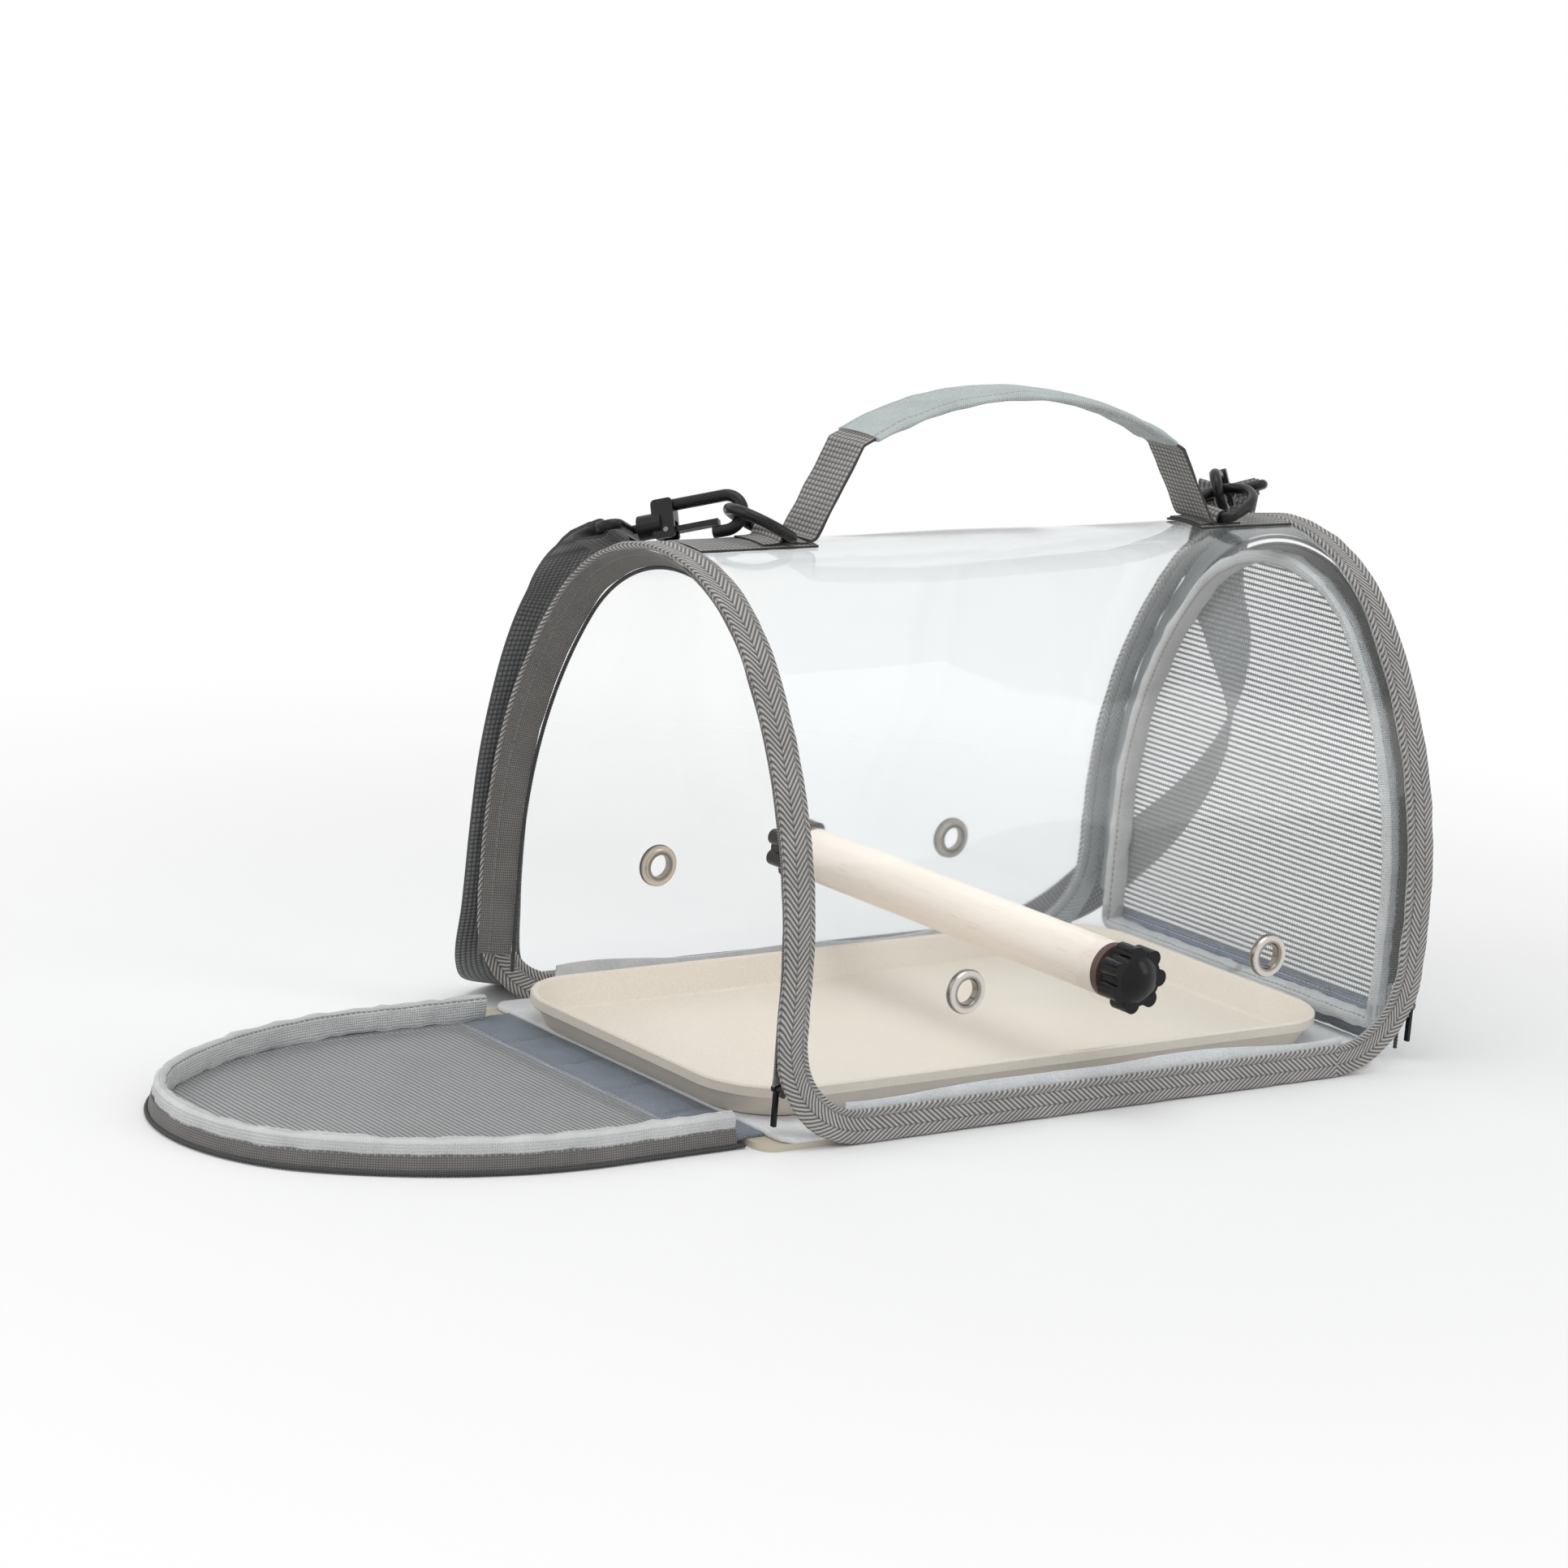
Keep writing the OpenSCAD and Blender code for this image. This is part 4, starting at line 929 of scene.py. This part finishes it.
# Lining: a white padded board that lies on the base board, with two loose flaps that stand up beside
# the tray.
def rounded_board(name, front, rear, half_y, low, high, corners, edge):
    bpy.ops.object.select_all(action="DESELECT")
    bpy.ops.mesh.primitive_cube_add(size=2, location=((front + rear) / 2, 0, (low + high) / 2),
                                    scale=((rear - front) / 2, half_y, (high - low) / 2))
    board = bpy.context.object
    board.name = name
    bpy.ops.object.transform_apply(location=True, rotation=False, scale=True)

    def round_off(chosen, offset, segments):
        bpy.ops.object.mode_set(mode="EDIT")
        bpy.ops.mesh.select_mode(type="EDGE")
        bpy.ops.mesh.select_all(action="DESELECT")
        bpy.ops.object.mode_set(mode="OBJECT")
        for side in board.data.edges:
            side.select = chosen(*(board.data.vertices[k].co for k in side.vertices))
        bpy.ops.object.mode_set(mode="EDIT")
        bpy.ops.mesh.bevel(offset=offset, segments=segments)
        bpy.ops.mesh.select_mode(type="VERT")
        bpy.ops.object.mode_set(mode="OBJECT")

    for end, corner in zip((-1, 1), corners):
        round_off(lambda a, b: abs(a.z - b.z) > 0.001 and a.x * end > 0.1, corner, 10)
    round_off(lambda a, b: abs(a.z - b.z) < 0.0001, edge, 3)
    return board


def felt_weave(tree, surface, spot):
    fibres = clouds(tree, spot, 900.0, 3.0)
    return work_out(tree, "MULTIPLY_ADD", clouds(tree, spot, 45.0), 3.0, fibres), fibres


white_lining = cloth_finish("white_lining", felt_weave, (0.66, 0.67, 0.68, 1), (0.86, 0.87, 0.88, 1), 0.8,
                            0.1, 0.0004)
pad = rounded_board("lining_pad", -0.1780, 0.1842, 0.1137, 0.0031, 0.0060, (0.008, 0.037), 0.0012)
lay_uv(pad, lambda point: (point.x, point.y))
smooth(pad, 50)
settle(pad, white_lining, "white_lining", "body", "base_lining")
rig.padded(pad, fill=0.8)
FLAP_HALF, FLAP_LOW, FLAP_HIGH = 0.145, 0.0042, 0.0148
for name, side in (("near_lining_flap", -1), ("far_lining_flap", 1)):
    def flap_point(u, v, side=side):
        x = (2 * u - 1) * FLAP_HALF
        sway = 0.0012 * v * noise.noise(Vector((x * 22, side * 3, 0)))
        drop = 0.0042 * noise.noise(Vector((x * 12, side * 7, 4))) * v
        return x, side * (0.1126 - abs(sway) - 0.0016 * v), FLAP_LOW + FLAP_HIGH * v + drop
    flap = start_sheet(name, 120, 8, flap_point)
    lay_uv(flap, lambda point: (point.x, point.z))
    thicken(flap, 0.0006)
    smooth(flap, 60)
    settle(flap, white_lining, "white_lining", "body", "base_lining")
    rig.sheet(flap, flat=(0.0150, 0.290), held="stretched", rests_on=["lining_pad"])


# Base: a stiff board covered with cream paper, sewn in under the lining. Its edge shows at the corners
# of the open end.
def dress(finish, *names):
    """Gives the solids of the frame their finish."""
    for name in names:
        for place in frame["nodes"][name].material_slots:
            place.material = finish


cream_board, tree, shader, layout = new_finish("cream_board")
mottled = use_effect(tree, unevenness, Vector=layout["Object"], Scale=60.0, Amount=0.2)["Value"]
flecks = put(tree, "TexVoronoi", None, Vector=layout["Object"], Scale=420.0)
colour = blend_colours(tree, work_out(tree, "LESS_THAN", flecks.outputs[0], 0.12), (0.62, 0.56, 0.45, 1),
                       (0.50, 0.44, 0.34, 1))
feed(tree, shader, Base_Color=vary(tree, colour, mottled), Roughness=0.55)
dress(cream_board, "base_board")


# Tray: moulded beige plastic with a rolled lip, smooth inside and faintly pebbled. It slides out over
# the open door.
tray_plastic, tree, shader, layout = new_finish("tray_plastic")
mottled = use_effect(tree, unevenness, Vector=layout["Object"], Scale=14.0, Amount=0.10)["Value"]
flecks = clouds(tree, layout["Object"], 700.0)
colour = blend_colours(tree, flecks, (0.70, 0.625, 0.53, 1), (0.81, 0.745, 0.655, 1))
smears = clouds(tree, layout["Object"], 22.0, 4.0)
feed(tree, shader, Base_Color=vary(tree, colour, mottled),
     Roughness=work_out(tree, "MULTIPLY_ADD", smears, 0.2, 0.36))
raise_relief(tree, shader, flecks, 0.00006)
dress(tray_plastic, "tray")


# Eyelets: six nickel-plated brass eyelets, three a side. Each is pressed through a punched hole and
# rolled over a washer behind the sheet.
nickel, tree, shader, layout = new_finish("nickel")
spot = layout["Object"]
rubbed = use_effect(tree, unevenness, Vector=spot, Scale=160.0, Amount=0.5)["Value"]
place = put(tree, "SeparateXYZ", None, i0=spot)
beside = work_out(tree, "PINGPONG", place.outputs[0], EYELET_PITCH / 2)
up = work_out(tree, "SUBTRACT", place.outputs[2], EYELET_Z)
reach = put(tree, "VectorMath", {"operation": "LENGTH"}, i0=put(
    tree, "CombineXYZ", None, i0=beside, i1=up).outputs[0]).outputs["Value"]
# Painted shade: the nickel darkens to a brownish grey at the lip of the hole and again past the outer rim, where shade
# falls in the eyelet's hollows.
hole_painted_shade = ease(tree, reach, HOLE_R, 0.0079, 0.25, 1.0)
edge = ease(tree, reach, 0.0092, 0.0100, 1.0, 0.25)
colour = blend_colours(tree, work_out(tree, "MULTIPLY", hole_painted_shade, edge), (0.14, 0.12, 0.10, 1),
                       (0.66, 0.63, 0.58, 1))
feed(tree, shader, Base_Color=colour, Metallic=1.0, Roughness=work_out(tree, "MULTIPLY", rubbed, 0.24))
raise_relief(tree, shader, clouds(tree, spot, 900.0), 0.00003)
dress(nickel, "eyelets", "eyelet_washers")


# Perch: a plain round rod of pale beech from side to side. Each end has a brown rubber ring, and a
# threaded brass insert that takes the stud of its knob.
perch_wood, tree, shader, layout = new_finish("perch_wood")
drawn = put(tree, "Mapping", None, Vector=layout["Object"], Scale=(1, 0.045, 1)).outputs[0]
figure = put(tree, "TexNoise", None, Vector=drawn, Scale=260.0, Detail=6.0, Roughness=0.65)
colour = blend_colours(tree, figure.outputs[0], (0.86, 0.74, 0.64, 1), (0.95, 0.87, 0.79, 1))
dark_pores = work_out(tree, "GREATER_THAN", clouds(tree, drawn, 1400.0), 0.66)
colour = blend_colours(tree, work_out(tree, "MULTIPLY", dark_pores, 0.4), colour, (0.72, 0.54, 0.40, 1))
broad = work_out(tree, "MULTIPLY_ADD", clouds(tree, drawn, 45.0), 0.18, 0.91)
feed(tree, shader, Base_Color=vary(tree, colour, broad), Roughness=0.55)
raise_relief(tree, shader, figure.outputs[0], 0.00012)
dress(perch_wood, "perch")

brown_rubber = worn_finish("brown_rubber", (0.115, 0.070, 0.055, 1), 120.0, 0.5, 0.6)[0]
dress(brown_rubber, "perch_end_rings")
brass = worn_finish("brass_insert", (0.70, 0.50, 0.22, 1), 200.0, 0.5, 0.35, metallic=1.0)[0]
dress(brass, "perch_inserts")


# Knobs: glossy black star knobs, moulded on zinc-plated studs that screw into the perch. The pins of the
# hooks' gates have the same plating.
knob_plastic, tree, shader, layout = worn_finish("knob_plastic", (0.004, 0.004, 0.005, 1), 140.0, 0.8,
                                                 0.16, scuffed=True)
shader.inputs["Specular IOR Level"].default_value = 0.25
dress(knob_plastic, "near_knob", "far_knob")
zinc = worn_finish("zinc_steel", (0.20, 0.205, 0.21, 1), 300.0, 0.4, 0.32, metallic=1.0)[0]
dress(zinc, "near_stud", "far_stud", "front_gate_pin", "rear_gate_pin")


# Zip sliders: small dark metal sliders with a moulded black pull each. The rings and the snap hooks are
# moulded in the same black plastic.
slider_metal, tree, shader, layout = new_finish("slider_metal")
chipped = use_effect(tree, unevenness, Vector=layout["Object"], Scale=260.0, Amount=0.9)["Value"]
colour = blend_colours(tree, chipped, (0.05, 0.05, 0.055, 1), (0.20, 0.20, 0.21, 1))
feed(tree, shader, Base_Color=colour, Metallic=0.8, Roughness=0.38)
dress(slider_metal, "front_zip_slider", "rear_zip_slider")

black_plastic, tree, shader, layout = worn_finish("black_plastic", (0.008, 0.008, 0.009, 1), 110.0, 0.8,
                                                  0.30, scuffed=True)
shader.inputs["Specular IOR Level"].default_value = 0.3
raise_relief(tree, shader, clouds(tree, layout["Object"], 1600.0), 0.00005)
dress(black_plastic, "front_zip_pull", "rear_zip_pull", "front_ring", "rear_ring", "front_hook", "rear_hook",
      "front_gate", "rear_gate", "front_swivel", "rear_swivel")


# Handle: a length of polyester webbing sewn down at both feet, with a canvas sleeve stitched round its
# middle.
def web_weave(tree, surface, spot):
    knots = crossed_threads(tree, surface, 130.0)
    return knots, work_out(tree, "POWER", knots, 0.35)


def strip(name, path, width, steps_across=8, bow=None):
    """A flat strip of webbing along a path in the X and Z plane. bow lowers the edges."""
    reach = [0.0]
    for a, b in zip(path, path[1:]):
        reach.append(reach[-1] + math.dist(a, b))
    total = reach[-1]

    def place(u, v):
        want = v * total
        k = max(i for i in range(len(path) - 1) if reach[i] <= want + 1e-9)
        share = (want - reach[k]) / (reach[k + 1] - reach[k])
        x = path[k][0] + (path[k + 1][0] - path[k][0]) * share
        z = path[k][1] + (path[k + 1][1] - path[k][1]) * share
        y = (u - 0.5) * width
        return x, y, z - (bow(y) if bow else 0)
    piece = start_sheet(name, steps_across, max(24, int(total / 0.0015)), place)
    scale_uv(piece, width, total)
    return piece


webbing = cloth_finish("webbing", web_weave, (0.06, 0.058, 0.056, 1), (0.50, 0.49, 0.475, 1), 0.75,
                       0.2, 0.0005)
WEB_WIDE = 0.025
ARC_FROM, ARC_TO, SLEEVE_FROM, SLEEVE_TO = -26, 30, -24, 28
foot_z, arc_x, arc_z, arc_r = 0.2424, 0.0, 0.104, 0.200
arc = [(arc_x + arc_r * math.sin(math.radians(a)), arc_z + arc_r * math.cos(math.radians(a)))
       for a in [ARC_FROM + (ARC_TO - ARC_FROM) * k / 60 for k in range(61)]]
path = [(-0.1132, foot_z), (-0.1108, foot_z + 0.0002), (-0.1094, foot_z + 0.0016)] + arc + [
    (0.1214, foot_z + 0.0016), (0.1228, foot_z + 0.0002), (0.1252, foot_z)]
handle = strip("handle_strap", path, WEB_WIDE)
thicken(handle, 0.0013)
crease(handle, 0.0005, 0.012, 2)
smooth(handle, 50)
settle(handle, webbing, "webbing", None, "handle_webbing")
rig.blend(handle, "body", "handle", (0.006, 0, 0.2430), (0.006, 0, 0.2540))


def sleeve_section(half_w, half_t):
    ring = []
    for k in range(24):
        a = math.tau * k / 24
        c, s = math.cos(a), math.sin(a)
        ring.append((half_w * math.copysign(abs(c) ** 0.55, c), half_t * math.copysign(abs(s) ** 0.8, s)))
    return ring


start = math.radians(SLEEVE_FROM)
points = [(arc_x + (arc_r + t) * math.sin(start), w, arc_z + (arc_r + t) * math.cos(start))
          for w, t in sleeve_section(0.0153, 0.0024)]
sleeve = start_run("handle_sleeve", points)
turn_round(math.radians(SLEEVE_TO - SLEEVE_FROM), (arc_x, 0, arc_z), (0, -1, 0), 90)
finish_run(sleeve)


def sleeve_measure(point):
    turn = math.atan2(point.x - arc_x, point.z - arc_z)
    return turn * arc_r, abs(point.y)


for vertex in sleeve.data.vertices:
    turn = math.degrees(math.atan2(vertex.co.x - arc_x, vertex.co.z - arc_z))
    end = max(0.0, 1 - min(turn - SLEEVE_FROM, SLEEVE_TO - turn) / 3.0)
    seam = math.exp(-((abs(vertex.co.y) - 0.0115) / 0.0012) ** 2)
    radius = math.hypot(vertex.co.x - arc_x, vertex.co.z - arc_z)
    flat = 1 - 0.30 * end - 0.22 * seam
    shrunk = arc_r + (radius - arc_r) * flat
    vertex.co.x = arc_x + (vertex.co.x - arc_x) * shrunk / radius
    vertex.co.z = arc_z + (vertex.co.z - arc_z) * shrunk / radius
lay_uv(sleeve, sleeve_measure)
crease(sleeve, 0.0007, 0.013, 8)
smooth(sleeve, 60)
wrap_canvas = cloth_finish("wrap_canvas", canvas_weave, (0.46, 0.515, 0.515, 1), (0.70, 0.755, 0.75, 1), 0.8,
                           0.2, 0.0003, 0.0115, (0.36, 0.42, 0.44, 1))
settle(sleeve, wrap_canvas, "wrap_canvas", "handle", "handle_wrap")
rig.padded(sleeve, fill=0.5)


# Webbing tails: each lies along the top from the binding, sewn down, and is folded into a loop that
# holds a D-ring.
def crown_bow(y):
    """How far the top of the arch has fallen beside its middle."""
    top_r = CROWN_R + 0.0005
    return top_r - math.sqrt(top_r ** 2 - y * y)


RING_X, LOOP_R, LOOP_Z = (-0.124, 0.130), 0.0034, 0.2443
for name, ring_x, low_x, high_x in (("front", RING_X[0], -0.1725, -0.1082),
                                    ("rear", RING_X[1], 0.1162, 0.1725)):
    base = strip(name + "_tail_strip", [(low_x, 0.2407), (high_x, 0.2407)], WEB_WIDE, 10, crown_bow)
    thicken(base, 0.0011)
    crease(base, 0.0003, 0.010, ring_x * 50)
    smooth(base, 50)
    settle(base, webbing, "webbing", "body", name + "_webbing_tail")
    loop = [(ring_x - 0.0135, 0.2417), (ring_x - 0.0075, 0.2418), (ring_x - 0.0045, 0.2422)]
    loop += [(ring_x + LOOP_R * math.sin(math.radians(a)), LOOP_Z + LOOP_R * math.cos(math.radians(a)))
             for a in range(-100, 101, 20)]
    loop += [(ring_x + 0.0045, 0.2422), (ring_x + 0.0075, 0.2418), (ring_x + 0.0115, 0.2417)]
    band = strip(name + "_ring_loop", loop, 0.0215, 10, crown_bow)
    thicken(band, 0.0009)
    smooth(band, 50)
    settle(band, webbing, "webbing", "body", name + "_webbing_tail")


# Shoulder strap: webbing with each end folded round the eye of its hook and sewn. It drops outside the
# far wall, runs along the floor and climbs behind the rear door. The ends follow the hooks, a joint at
# a time.
STRAP_WIDE = 0.030
EYE_X, FOLD_R = -0.056, 0.0036
RING_SIDE, RING_BOW = 0.0085, 0.0155
RING_LIFT, HOOK_TURN, HOOK_DROP, EYE_TURN = (27, 26), (60, 50), (33, 28), (5, 0)
DROP_X, FLOOR_Y, FLOOR_Z = -0.177, 0.148, 0.0011


def eye_frame(end):
    """From a hook's frame to the carrier's. end is 0 in front and 1 behind."""
    def turn(angles, axis):
        return Matrix.Rotation(math.radians(angles[end]), 4, axis)
    frame = Matrix.Translation((-abs(RING_X[end]), 0, LOOP_Z)) @ turn(RING_LIFT, "Y")
    frame = frame @ Matrix.Translation((-RING_SIDE, 0, 0)) @ turn(HOOK_TURN, "Z").inverted()
    frame = frame @ Matrix.Translation((-RING_BOW, 0, 0)) @ turn(HOOK_DROP, "Y").inverted()
    frame = frame @ turn(EYE_TURN, "X")
    return Matrix.Scale(-1, 4, (1, 0, 0)) @ frame if end else frame


def folded_end(end):
    """Each stop holds a place, and the way that the width of the strap lies there."""
    fold = [(-0.012, -0.0026), (-0.007, -0.0032), (0, -FOLD_R), (0.71 * FOLD_R, -0.71 * FOLD_R),
            (FOLD_R, 0), (0.71 * FOLD_R, 0.71 * FOLD_R), (0, FOLD_R), (-0.007, 0.002), (-0.012, 0.0006)]
    frame = eye_frame(end)
    wide = frame.to_3x3() @ Vector((0, 1, 0))
    return [(frame @ Vector((EYE_X + x, 0, z)), wide) for x, z in fold]


FREE_ROUTE = [
    ((-0.173, 0.091, 0.207), (0.95, 0.15, -0.2)), ((-0.176, 0.101, 0.182), (1, 0, 0)),
    ((DROP_X, 0.110, 0.152), (1, 0, 0)), ((DROP_X, 0.117, 0.120), (1, 0, 0)),
    ((DROP_X, 0.120, 0.088), (1, 0, 0)), ((DROP_X, 0.121, 0.050), (1, -0.1, 0)),
    ((-0.173, 0.126, 0.022), (0.85, -0.5, 0.2)), ((-0.152, 0.140, 0.005), (0.4, -0.9, 0.1)),
    ((-0.120, FLOOR_Y, FLOOR_Z), (0, -1, 0)), ((-0.060, FLOOR_Y, FLOOR_Z), (0, -1, 0)),
    ((0, FLOOR_Y, FLOOR_Z), (0, -1, 0)), ((0.060, FLOOR_Y, FLOOR_Z), (0, -1, 0)),
    ((0.120, FLOOR_Y, FLOOR_Z), (0, -1, 0)), ((0.155, 0.146, 0.003), (0, -1, 0)),
    ((0.185, 0.137, 0.017), (0, -1, -0.1)), ((0.200, 0.114, 0.044), (-0.1, -0.9, -0.4)),
    ((0.206, 0.078, 0.082), (-0.4, -0.8, -0.4)), ((0.208, 0.054, 0.125), (-0.65, -0.75, 0)),
    ((0.208, 0.060, 0.165), (-0.98, -0.1, 0)), ((0.206, 0.074, 0.198), (-0.9, 0.4, 0))]
stops = [(Vector(place), Vector(wide).normalized())
         for place, wide in folded_end(0) + FREE_ROUTE + folded_end(1)[::-1]]
last_stop = len(stops) - 1.001


def route(u, part):
    """A smooth run through the stops: part 0 is the place and part 1 the way of the width."""
    k = min(len(stops) - 2, int(u))
    t = u - k
    a, b, c, d = (stops[max(0, min(len(stops) - 1, k + i))][part] for i in (-1, 0, 1, 2))
    return 0.5 * (2 * b + (c - a) * t + (2 * a - 5 * b + 4 * c - d) * t * t
                  + (3 * b - a - 3 * c + d) * t * t * t)


def strap_piece(name, first, last):
    steps = max(6, int((last - first) * 10))
    places = [route(first + (last - first) * k / steps, 0) for k in range(steps + 1)]
    length = sum((b - a).length for a, b in zip(places, places[1:]))

    def place(u, v):
        at = first + (last - first) * v
        low, high = max(0, at - 0.05), min(last_stop, at + 0.05)
        ahead = (route(high, 0) - route(low, 0)).normalized()
        wide = route(at, 1)
        wide = (wide - ahead * wide.dot(ahead)).normalized()
        return route(at, 0) + wide * ((u - 0.5) * STRAP_WIDE)
    piece = start_sheet(name, 8, steps + 1, place)
    scale_uv(piece, STRAP_WIDE, length)
    thicken(piece, 0.0014, even=False)
    smooth(piece, 50)
    return piece, places, length


strap_webbing = cloth_finish("strap_webbing", web_weave, (0.06, 0.061, 0.063, 1), (0.30, 0.305, 0.31, 1),
                             0.75, 0.2, 0.0004)
# Each part's first and last stop, and the body that it rides on or the two that it joins.
held = [(0, 8.4, "front_swivel", None), (8.4, 9.4, "front_swivel", "front_hook"),
        (9.4, 11, "front_hook", "front_ring"), (11, 13, "front_ring", "body"), (13, 26, "body", None),
        (26, 27, "body", "rear_ring"), (27, 28.2, "rear_ring", "rear_hook"),
        (28.2, 29.5, "rear_hook", "rear_swivel"), (29.5, last_stop, "rear_swivel", None)]
for k, (first, last, one, other) in enumerate(held):
    piece, places, length = strap_piece("strap_part_%d" % (k + 1), first, last)
    settle(piece, strap_webbing, "strap_webbing", None if other else one, "shoulder_strap")
    if other:
        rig.blend(piece, one, other, places[0], places[-1])
    elif one == "body":
        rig.cord(piece, exit=places[0], length=length, diameter=STRAP_WIDE, far_end="object", stiffness="limp",
                lay="loose", path=places)

# Boxes: the size of the solids as they were loaded, and that of the finished carrier.
dressed_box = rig.bounds()
with open("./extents.json", "w") as out:
    json.dump({"solids": [list(v) for v in solid_box], "visual": [list(v) for v in dressed_box]}, out)
